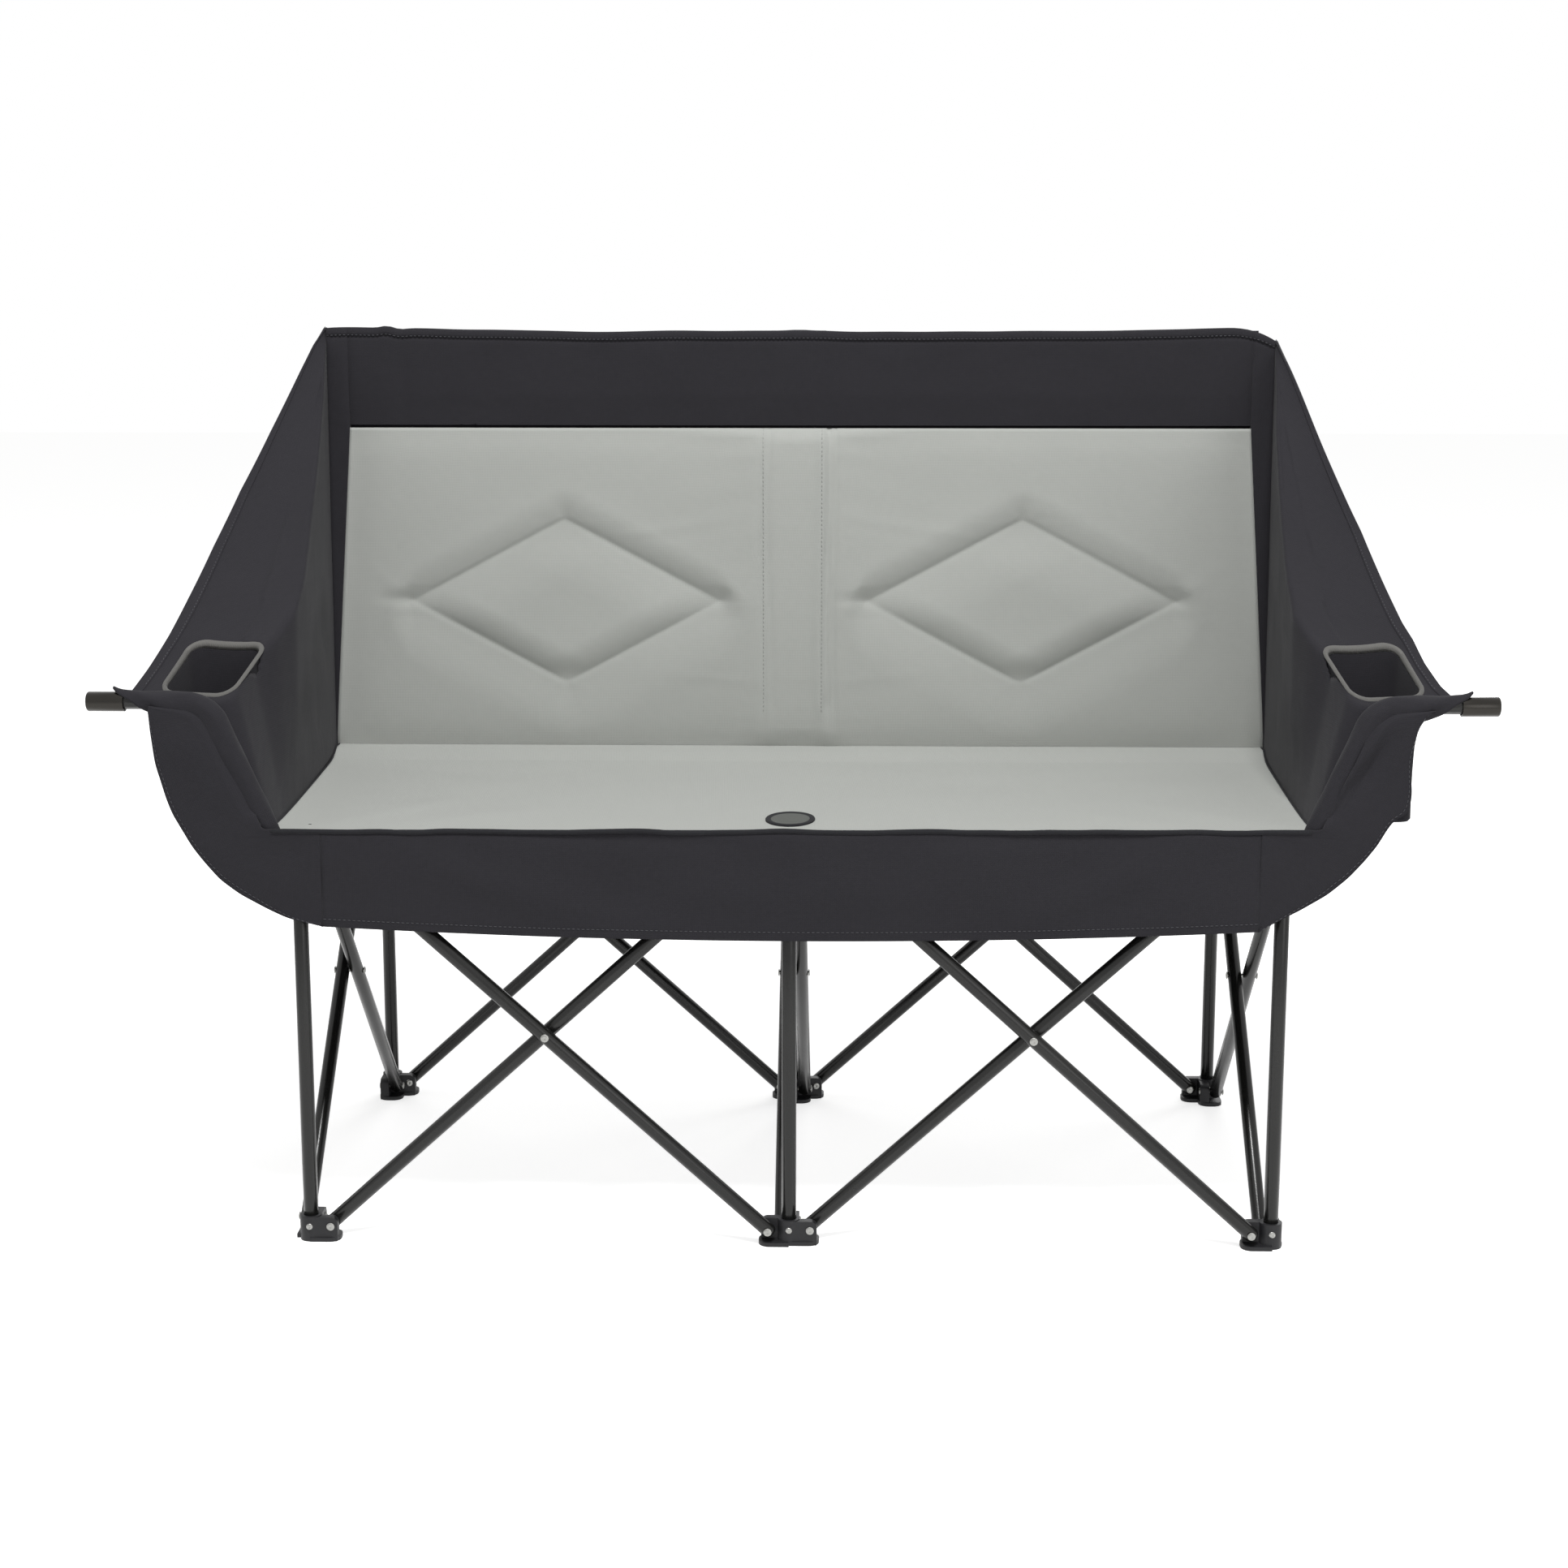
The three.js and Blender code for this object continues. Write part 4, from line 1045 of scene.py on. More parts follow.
class LOVESEAT_OT_hubs(bpy.types.Operator):
    """Adds the six hubs under the seat; the front corner ones hold an arm tube in a slanted socket"""

    bl_idname = "loveseat.hubs"
    bl_label = "Hubs"

    def execute(self, context):
        for row_name, row in ROWS:
            for column_name, column in COLUMNS:
                arms = arms_of(row, column, True)
                parts = [add_cylinder(HUB_COLLAR, -20, 7, POST_SIDES)]
                parts += [side_plate(arm, HUB_PLATE, (7, 7), (-9, 8)) for arm in arms]
                if row < 0 and column:
                    socket = add_cylinder(SOCKET, -24, 1.8, TUBE_SIDES)
                    lean = Matrix.Rotation(column * (math.pi / 2 - ARM_LEAN), 4, "Y")
                    socket.data.transform(at(column * (arm_line(HUB_PIN) - BAY), ARM_Y + HALF_BAY, 0) @ lean)
                    parts.append(socket)
                # A rear hub slides on its post, a front hub caps its rod
                room = (TUBE + 0.5, -40, 40) if row > 0 else (6.7, -40, 5)
                hub = bored(merged(parts, sizes().edge), *room)
                node = f"hub_{row_name}_{column_name}"
                settle_fitting(hub, pins_of(arms, 0, 0), "joint", node, node, column, row, HUB_PIN)
        return {"FINISHED"}


class LOVESEAT_OT_caps(bpy.types.Operator):
    """Adds the glossy caps on the arm tubes"""

    bl_idname = "loveseat.caps"
    bl_label = "Arm caps"

    def execute(self, context):
        plain = add_cylinder(CAP, 0, CAP_LENGTH - sum(lift for _, lift in CAP_TIP), 40)
        dome_ends(plain, CAP_TIP, ways=(1,))
        open_edit(plain, "FACE", flat_end(-1))
        bpy.ops.mesh.inset(thickness=CAP_WALL * MM)
        push(3)
        close_edit()
        smooth(plain, 40)
        clothe(plain, "cap")
        for side_name, side in SIDES:
            place = at(side * (CAP_END - CAP_LENGTH), ARM_Y, ARM_TIP_Z)
            cap = copy_of(plain, f"end_cap_{side_name}", place @ Matrix.Rotation(side * math.pi / 2, 4, "Y"))
            settle(cap, f"end_cap_{side_name}", f"hub_front_{side_name}",
                   [f"arm_cap_{side_name}"])
        discard(plain)
        return {"FINISHED"}


# Seat


# Folds from the front corners, where the arm tubes pull, and two at the sides: start, end and lift
SEAT_FOLDS = (((-520, -262), (-360, -60), 1.2), ((-470, -270), (-250, -130), 1.0),
              ((520, -262), (380, -90), 1.0), ((450, -272), (300, -150), 0.9),
              ((-560, 150), (-330, 60), -0.9), ((560, 130), (350, 60), -0.8))
# The patch's border in section: share of its half size and height over the seat
PATCH_SECTION = ((0.05, 1.3), (0.5, 1.4), (0.78, 1.5), (0.84, 2.1), (0.92, 2.3), (0.98, 2.0), (1.0, 1.2),
                 (1.0, 0.2))


def leaning(x, y=SEAT_FRONT[1]):
    """The seat's front hangs a little lower at its left corner than at its right one."""
    return SEAT_LEAN * x * ramp(y, SEAT_BACK, SEAT_FRONT[1] - SEAT_BACK)


def seat_edges(y):
    """Half width and top height of the seat at a distance from front to back."""
    share = (y - SEAT_FRONT[1]) / (SEAT_REAR[1] - SEAT_FRONT[1])
    half, _, top = [lerp(front, rear, share) for front, rear in zip(SEAT_FRONT, SEAT_REAR)]
    return half - SEAT_WAIST * domed(np.clip(share, 0, 1)), top


def closer_at_ends(count):
    """Shares from 0 to 1 whose steps are shorter towards both ends."""
    even = np.linspace(0, 1, count + 1)
    return lerp(even, (1 - np.cos(np.pi * even)) / 2, 0.35)


def border_held(face):
    held = np.ones(face.shape[:2], bool)
    held[1:-1, 1:-1] = False
    return held


class LOVESEAT_OT_seat(bpy.types.Operator):
    """Adds the padded seat, its edging and the bare oval patch"""

    bl_idname = "loveseat.seat"
    bl_label = "Seat"

    def execute(self, context):
        u, v = closer_at_ends(140), closer_at_ends(64)
        y = lerp(SEAT_FRONT[1], SEAT_BACK, v)[:, None] + 0 * u[None, :]
        half, top = seat_edges(np.minimum(y, SEAT_REAR[1]))
        x = half * (2 * u[None, :] - 1)
        dome = domed(u)[None, :] * domed(v)[:, None]
        # The front edge rolls down, and the rear runs up over the hubs under the back
        z = top + leaning(x, y) - 1 - 2.4 * np.exp((SEAT_FRONT[1] - y) / 9) + 6 * ramp(y, 175, 50)
        face = np.stack([x, y, z + 1.5 * dome], 2)
        rear = np.stack([x, y, top + leaning(x, y) - SEAT_THICK], 2)
        moved = swell("seat_swelling", face, rear, border_held(face), sizes().puff / MM * 0.55, 4.0)
        face = soften(refine(face + soften(moved, 3)), 2)
        x, y = face[..., 0], face[..., 1]
        face[..., 2] += 0.9 * waves(x, y * 1.6, 11, 420) * domed_over(x, 560) * domed_over(y + 28, 254)
        for start, end, lift in SEAT_FOLDS:
            face[..., 2] += lift * ridge(x, y, start, end, 26)

        def underside(rim):
            x, y = rim[:, 0], rim[:, 1]
            return seat_edges(np.minimum(y, SEAT_REAR[1]))[1] + leaning(x, y) - SEAT_THICK

        pad = closed_pad("seat_pad", face, underside, 2)
        edging = self.edging(face)
        clothe(pad, "pad", "dark")
        pad = join_in(pad, edging, "edging")
        settle(pad, "seat_pad", "seat", ["seat_cloth"])
        self.narrow(pad)
        self.patch(face)
        return {"FINISHED"}

    def narrow(self, obj):
        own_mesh(obj)

    def edging(self, face):
        """Narrow cloth edging folded over both sides of the seat."""
        turns = round_angles(8)
        section = np.stack([1.9 * np.cos(turns), 0 * turns, 3.2 * np.sin(turns)], 1)
        lines = [face[:, column] + np.array([side * 0.6, 0, -2.4]) for column, side in ((0, -1), (-1, 1))]
        return [cap_tube("seat_edging", closed(line[:, None, :] + section[None, :, :])) for line in lines]

    def patch(self, face):
        """Bare oval patch with a raised sewn border, lying on the seat."""
        turns = round_angles(64)
        wide, deep = PATCH_HALF
        rings = []
        for scale, lift in PATCH_SECTION:
            x, y = wide * scale * np.cos(turns), PATCH_Y + deep * scale * np.sin(turns)
            rings.append(np.stack([x, y, surface_height(face, x, y) + lift], 1))
        obj = weld(cloth_grid("oval_patch", closed(np.array(rings))))
        for _ in range(2):
            open_edit(obj, "EDGE", lambda edge: edge.is_boundary)
            bpy.ops.mesh.edge_face_add()
            close_edit()
        face_out(obj)
        for polygon in obj.data.polygons:
            x, y, _ = polygon.center / MM
            polygon.material_index = int(math.hypot(x / wide, (y - PATCH_Y) / deep) > 0.8)
        clothe(obj, "patch", "edging")
        settle(obj, "oval_patch", "seat", ["seat_patch"])
        self.narrow(obj)


def surface_height(face, x, y):
    """Height of a nearly flat grid surface above points, from the nearest of its own points."""
    flat = face.reshape(-1, 3)
    out = np.empty(len(x))
    for k, (px, py) in enumerate(zip(x, y)):
        d = np.square(flat[:, 0] - px) + np.square(flat[:, 1] - py)
        near = np.argpartition(d, 4)[:4]
        weight = 1 / (d[near] + 0.01)
        out[k] = float((flat[near, 2] * weight).sum() / weight.sum())
    return out


def cap_tube(name, rings):
    """A closed tube from a grid of points whose last column repeats the first, with flat ends."""
    obj = weld(cloth_grid(name, rings))
    for _ in range(2):
        open_edit(obj, "EDGE", lambda edge: edge.is_boundary)
        bpy.ops.mesh.fill_holes(sides=0)
        close_edit()
    return face_out(obj)


# Back


def pad_edge(z):
    """Half width of the back pad, which narrows upwards."""
    return lerp(*PAD_HALF, np.clip((z - BACK_BOTTOM) / (PAD_TOP - BACK_BOTTOM), 0, 1.32))


def diamond_sides(x, z):
    """Distances to the sewn sides of the nearer diamond: the two lower ones, then the two upper ones."""
    cx, cz, wide, tall = DIAMOND
    found = []
    for way_z in (-1, 1):
        for way_x in (-1, 1):
            px, pz = (np.abs(x) - cx) * way_x, (z - cz) * way_z
            t = np.clip(((wide - px) * wide + pz * tall) / (wide ** 2 + tall ** 2), 0, 1)
            found.append(np.hypot(px - (1 - t) * wide, pz - t * tall))
    return np.array(found)


def quilting(x, z, reach):
    """How far the diamonds pull the pad in: 1 on their sides, fading faster above a side than below it."""
    cx, cz, wide, tall = DIAMOND
    far = reach * 1.9
    sides = diamond_sides(x, z)
    inside = np.abs(np.abs(x) - cx) / wide + np.abs(z - cz) / tall < 1

    def pull(distance, fades_over):
        return np.square(np.clip(1 - distance / fades_over, 0, 1))

    within = (1 - pull(sides[:2], reach)) * (1 - pull(sides[2:], far))
    past = np.clip(np.abs(np.abs(x) - cx) - wide, 0, None)
    distance = sides.min(0) + 1.2 * past * past / (past + 12)
    around = pull(distance, lerp(far, reach, ramp(z, cz - 20, 40)))
    return np.where(inside, 1 - within[0] * within[1], around)


class LOVESEAT_OT_back(bpy.types.Operator):
    """Adds the quilted back pad, the dark cloth round and behind it and the rear sleeves"""

    bl_idname = "loveseat.back"
    bl_label = "Back"

    def execute(self, context):
        self.pad()
        self.shell()
        self.sleeves()
        return {"FINISHED"}

    def pad(self):
        cx, cz, wide, tall = DIAMOND
        inner = spread(0, (CENTRE_SEAM, 5), (cx - wide, 8), (cx + wide, 48), (CORNER_SEAM, 2))
        outer = spread(0, (1, 10))[1:]
        z = spread(BACK_BOTTOM - 7, (cz - tall, 12), (cz + tall, 48), (PAD_TOP, 14))
        half = pad_edge(z)[:, None]
        right = np.concatenate([inner[None, :] + 0 * half, lerp(CORNER_SEAM, half, outer[None, :])], 1)
        x = np.concatenate([-right[:, :0:-1], right], 1)
        z = z[:, None] + 0 * x
        half = pad_edge(z)
        # The pad rolls in towards its sewn edges
        full = ((1 - np.exp((np.abs(x) - half) / 19)) * (1 - np.exp((BACK_BOTTOM - 8 - z) / 26))
                * (1 - np.exp((z - PAD_TOP) / 11)))
        face = np.stack([x, BACK_FRONT - 0.6 - 9 * full, z], 2)
        rear = np.stack([x, np.full_like(x, PAD_REAR), z], 2)
        near = diamond_sides(x, z).min(0)
        strip = np.abs(np.abs(x) - CENTRE_SEAM)
        held = (near < 5) | (strip < 2) | border_held(face)
        moved = swell("back_swelling", face, rear, held, sizes().puff / MM, 12.0)
        face = refine(face + soften(moved, 2, held))
        x, z = face[..., 0], face[..., 2]
        y = face[..., 1]
        y += sizes().quilt / MM * quilting(x, z, sizes().quilt_spread / MM)
        low = ramp(z, 480, 40)
        for side in (-1, 1):
            # Short puckers where the diamonds' side corners pull the cloth
            for start, reach, depth in ((side * cx - wide, -40, 1.8), (side * cx + wide, 18, 0.8)):
                y += depth * ridge(x, z, (start, cz + 2), (start + reach, cz + 3), 8)
            # Seams of the middle strip: a crease with a fold beside it, dying out above the seat
            seam = side * CENTRE_SEAM + 2.2 * np.sin(z / 61.0 + side)
            y += low * (6 if side > 0 else 3) * crease(x, seam, 3.4)
            y += low * 2.0 * hump(x, seam + side * 9, 3)
            y -= low * (1.8 if side > 0 else 0) * hump(x, seam - 9, 6)
        # The pad rolls under along the seat
        y += 8 * np.exp(-(z - BACK_BOTTOM + 7) / 19.0)
        y += 0.7 * waves(x, z, 5, 330) * domed_over(x, pad_edge(z))
        face[..., 1] = np.minimum(y, BACK_REAR - 4)
        # Both diamonds sit a little off centre, as they were sewn
        off = ramp(np.abs(x), CENTRE_SEAM, 60) * ramp(np.abs(x), pad_edge(z), -90)
        face[..., 0] = x - DIAMOND_SHIFT * off * off * (3 - 2 * off)
        pad = closed_pad("back_pad", face, lambda rim: PAD_REAR, 1)
        clothe(pad, "pad", "dark")
        outwards = -np.abs(normals_of(face))
        lines = []
        for place in (-CENTRE_SEAM - 6, CENTRE_SEAM - 6):
            column = int(np.argmin(np.abs(face[60, :, 0] - place)))
            lines.append((face[14:, column], outwards[14:, column]))
        pad = sew(pad, "pad_thread", lines, lift=0.2)
        settle(pad, "back_pad", "rear_centre", ["back_cloth"])
        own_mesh(pad)

    def shell(self):
        """The dark cloth: a top band and side bands round the pad, and the whole rear."""
        side = spread(0, (0.12, 4), (1, 11))
        shares = np.concatenate([np.linspace(0, 1, 60), spread(0, (0.86, 29), (1, 11))])
        shares[60] = 1.0
        above = (np.arange(len(shares)) >= 60)[:, None]
        low = np.where(above, 1.0, shares[:, None])
        high = np.where(above, shares[:, None], 0.0)
        guess = lerp(BACK_BOTTOM - 6, PAD_TOP, low) + high * (BACK_TOP - PAD_TOP)
        edge = pad_edge(np.minimum(guess, PAD_TOP))
        half = lerp(*BACK_HALF, (guess - BACK_BOTTOM) / (BACK_TOP - BACK_BOTTOM))
        band = lerp(half, edge, side[None, :])
        x = np.concatenate([-band, (edge - 0.8) * np.linspace(-1, 1, 150)[None, :], band[:, ::-1]], 1)
        inner = (np.abs(np.arange(x.shape[1]) - (x.shape[1] - 1) / 2) < 75)[None, :]
        out = np.abs(x / half)
        # The top edge dips in the middle, waves, and droops at the right corner
        top = BACK_TOP - 6 * domed_over(x, half) - 2.5 * out ** 30 - 15 * ramp(x, 522, 55) ** 2
        top += 1.2 * waves(x, 0 * x, 21, 240) * (1 - out ** 8)
        top += 2.4 * hump(x, -503, 9) - 1.2 * hump(x, -486, 9)
        z = np.where(above, PAD_TOP + (top - PAD_TOP) * high, guess + 0 * x)
        under = inner & ~above
        z = np.where(under & (low > 0.9999), PAD_TOP - 0.8, z)
        y = BACK_FRONT - 1.6 - 3.4 * domed_over(x, half) * ramp(z, PAD_TOP, 40)
        # Seams between the side bands and the top band, and creases over the middle strip
        y += 2.2 * crease(np.abs(x), edge, 2.6) * above
        y += 1.3 * crease(x, -CORNER_SEAM, 4.0) * above
        y += 1.2 * crease(np.abs(x), CENTRE_SEAM + 1.5, 3.0) * ramp(z, 960, -60) * above
        y += 1.3 * waves(x, z * 0.35, 8, 150) * ramp(z, PAD_TOP, 25) * ramp(z, top - 12, -20)
        y = np.where(under, BACK_REAR - 2.6, y)
        # Hem along the top: a turned strip, a little proud, with a sewn crease under it
        hem = sizes().hem / MM * 0.85
        turned = ramp(z, top - hem, 1.5)
        y += 1.5 * crease(z, top - hem - 1.2, 1.6) - 1.6 * turned
        behind = BACK_REAR + 0.9 * waves(x, z * 0.5, 9, 260) * domed_over(z - 721, 259) + 0.8 * turned
        # Rounded top and side edges
        rim = np.exp(-(top - z) / 2.2) + np.exp(-(half - np.abs(x)) / 2.2)
        rounded = 2.4 * np.clip(rim, 0, 1) * ~under
        face, back = np.stack([x, y + rounded, z], 2), np.stack([x, behind - rounded, z], 2)
        rows, columns = x.shape
        count = rows * columns
        faces = np.concatenate([grid_faces(rows, columns), grid_faces(rows, columns, first=count, flip=True)])
        border = border_of(rows, columns)
        walls = [[a, b, b + count, a + count] for a, b in zip(border, border[1:] + border[:1])]
        points = np.concatenate([face.reshape(-1, 3), back.reshape(-1, 3)])
        uv = map_of(back)
        cloth = mesh_from("back_cloth_dark", points, faces.tolist() + walls, np.concatenate([uv, uv]))
        smooth(face_out(cloth), 50)
        clothe(cloth, "dark")
        hem_row = int(np.argmin(np.abs((top - z)[:, columns // 2] - hem + 1.5)))
        cloth = sew(cloth, "thread", [(face[hem_row], FRONTWARD), (back[hem_row], REARWARD),
                                      (back[3], REARWARD)])
        settle(cloth, "back_cloth_dark", "rear_centre")
        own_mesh(cloth)

    def sleeves(self):
        """Sleeves behind the back that hold the rear posts, each sewn down along both sides."""
        for column_name, column in COLUMNS:
            s = np.linspace(-1, 1, 33)[None, :]
            z = spread(466, (474, 3), (966, 69), (974.5, 4))[:, None] + 0 * s
            s = s + 0 * z
            bulge = 1 / (1 + np.power(np.abs(s) / 0.42, 5))
            x = column * BAY + SLEEVE_HALF * s
            y = BACK_REAR + 1.0 + 20.5 * bulge - 0.9 * hump(np.abs(s), 0.86, 0.05)
            y += 0.9 * waves(x * 1.5, z * 0.8, 30 + column, 120) * (1 - np.abs(s) ** 4)
            y -= 8 * ramp(z, 966, 8.5) ** 2 * bulge
            points = np.stack([x, y, z], 2)
            sleeve = thicken(cloth_grid("post_sleeve", points, flip=True), sizes().cloth * 0.8)
            clothe(sleeve, "dark")
            raised = np.array([0, 0.9, 0])
            sleeve = sew(sleeve, "thread", [(points[2:-2, edge] + raised, REARWARD) for edge in (2, -3)])
            settle(sleeve, f"post_sleeve_{column_name}", f"rear_{column_name}")


# Arms

# How far the crease of the arm pinches in, as shares: place from back to front, and depth
PINCH = ((0, 0), (.2, .36), (.4, .66), (.58, .9), (.7, 1), (.78, .82), (.85, .54), (.93, .5), (.97, .48),
         (1, 0))
# How much further out the real hem hangs than a straight line, in millimetres, from back to front
HEM_BULGE = {
    "left": ((0, 0), (.04, 6), (.1, 9), (.25, 13), (.4, 15), (.55, 12), (.68, 7), (.8, 2), (.9, 0), (1, 0)),
    "right": ((0, 0), (.5, 1), (.65, -4), (.75, -7), (.8, -6), (.87, -9), (.94, -8), (1, 0))}
# Folds that fan out of the front corner towards the back, and one under the cup: start, end, width and lift
ARM_FOLDS = (((210, 60), (-120, 240), 34, 1.6), ((230, 120), (40, 330), 30, -1.2),
             ((250, 40), (-60, 90), 30, -1.0))
# The sleeve's section along its run: share of the run and reach from the tube's middle
SLEEVE_ABOVE = ((0, 10.0), (.1, 10.5), (.35, 10.5), (.55, 11), (.75, 11), (.9, 11.5), (1, 13.0))
SLEEVE_BELOW = ((0, 10.0), (.1, 12), (.3, 16), (.42, 26), (.53, 34), (.65, 29), (.8, 20), (.94, 14.5),
                (1, 12.0))
SLEEVE_THIN = ((0, 10.5), (.1, 12.5), (.5, 14), (1, 11.6))
# The sleeve's mouth is cut at a slant: its upper side runs out over the cap, its lower side stops short
SLEEVE_MOUTH = ((-1, 674), (0.2, 694), (1, 713))


def looked_up(value, table):
    """A value read from a table of pairs, straight between them."""
    return np.interp(value, *zip(*table))


def arm_line(height):
    return ARM_FOOT_X + (height - ARM_FOOT_Z) / math.tan(ARM_LEAN)


def arm_stations(start_z, end_x, bends=10, lower=8, level=12):
    """Places along the arm tube's middle with their slope: straight, bent, then level."""
    bend_z = ARM_TIP_Z - ARM_BEND * (1 - math.cos(ARM_LEAN))
    bend_x = arm_line(bend_z)
    found = [(lerp(arm_line(start_z), bend_x, k / lower), lerp(start_z, bend_z, k / lower), ARM_LEAN)
             for k in range(lower)]
    for k in range(bends + 1):
        slope = ARM_LEAN * (1 - k / bends)
        found.append((bend_x + ARM_BEND * (math.sin(ARM_LEAN) - math.sin(slope)),
                      bend_z + ARM_BEND * (math.cos(slope) - math.cos(ARM_LEAN)), slope))
    last = found[-1][0]
    found += [(lerp(last, end_x, (k + 1) / level), ARM_TIP_Z, 0.0) for k in range(level)]
    return np.array(found)


def sagging(u):
    """A hanging curve between two ends, 1 in its middle."""
    return 4 * u * (1 - u)


def crease_at(u):
    """The fold between the arm's inner and top panels, from back to front."""
    pinch = looked_up(u, PINCH)
    for _ in range(3):
        pinch[1:-1] = (pinch[:-2] + 2 * pinch[1:-1] + pinch[2:]) / 4
    return (lerp(CREASE_BACK[0], CREASE_FRONT[0], u) - CREASE_PINCH * pinch,
            lerp(CREASE_BACK[1], CREASE_FRONT[1], u) - CREASE_SAG * sagging(u))


def hem_at(u, side_name):
    """The outer hem of the arm, from back to front."""
    return (lerp(HEM_BACK[0], CAP_END - CAP_LENGTH, u) + looked_up(u, HEM_BULGE[side_name]),
            lerp(HEM_BACK[1], ARM_TIP_Z, u) - HEM_SAG * sagging(u))


def arm_depth(y):
    return (ARM_REAR_Y + 5 - y) / (ARM_REAR_Y + 5 - ARM_Y)


def cup_skew(forward):
    """How the cup's mouth leans outwards to the front: its shift and stretch across."""
    _, _, wide, deep, _ = CUP
    share = np.clip(0.5 - forward / (2 * deep), 0, 1)
    near_seat, near_hem = lerp(-2, 22, share), lerp(-12, 6, share)
    return (near_seat + near_hem) / 2, 1 + (near_hem - near_seat) / (2 * wide)


def cup_outline(shrink, count=12):
    """Outline of the cup hole, as offsets from its middle: four rounded corners with straights between."""
    _, _, wide, deep, corner = CUP
    corner = corner - shrink
    wide, deep = wide - shrink - corner, deep - shrink - corner
    corners = []
    for quarter, (sx, sy) in enumerate(((1, 1), (-1, 1), (-1, -1), (1, -1))):
        turns = math.pi / 2 * (quarter + np.arange(count) / (count - 1))
        corners.append(np.stack([sx * wide + corner * np.cos(turns), sy * deep + corner * np.sin(turns)], 1))
    points = []
    for here, there in zip(corners, corners[1:] + corners[:1]):
        points += [here, lerp(here[-1], there[0], np.arange(1, 8)[:, None] / 8)]
    points = np.concatenate(points)
    shift, stretch = cup_skew(points[:, 1])
    points[:, 0] = shift + stretch * points[:, 0]
    return points


def arm_height(x, y, side_name):
    """Height of the arm's top panel at points given by their distance from the middle."""
    order = np.linspace(0, 1, 201)
    u = arm_depth(y)
    crease_x, crease_z = [np.interp(u, order, values) for values in crease_at(order)]
    hem_x, hem_z = hem_at(u, side_name)
    share = np.clip((x - crease_x) / (hem_x - crease_x), 0, 1)
    return lerp(crease_z, hem_z, share) - PANEL_SAG * share * (1 - share) * sagging(u)


def cup_distance(x, y):
    """Distance of points from the cup hole's outline, less than zero inside it."""
    cx, cy, wide, deep, corner = CUP
    across, stretch = cup_skew(y - cy)
    dx = np.abs((x - cx - across) / stretch) - (wide + FIT - corner)
    dy = np.abs(y - cy) - (deep + FIT - corner)
    return np.hypot(np.maximum(dx, 0), np.maximum(dy, 0)) + np.minimum(np.maximum(dx, dy), 0) - corner


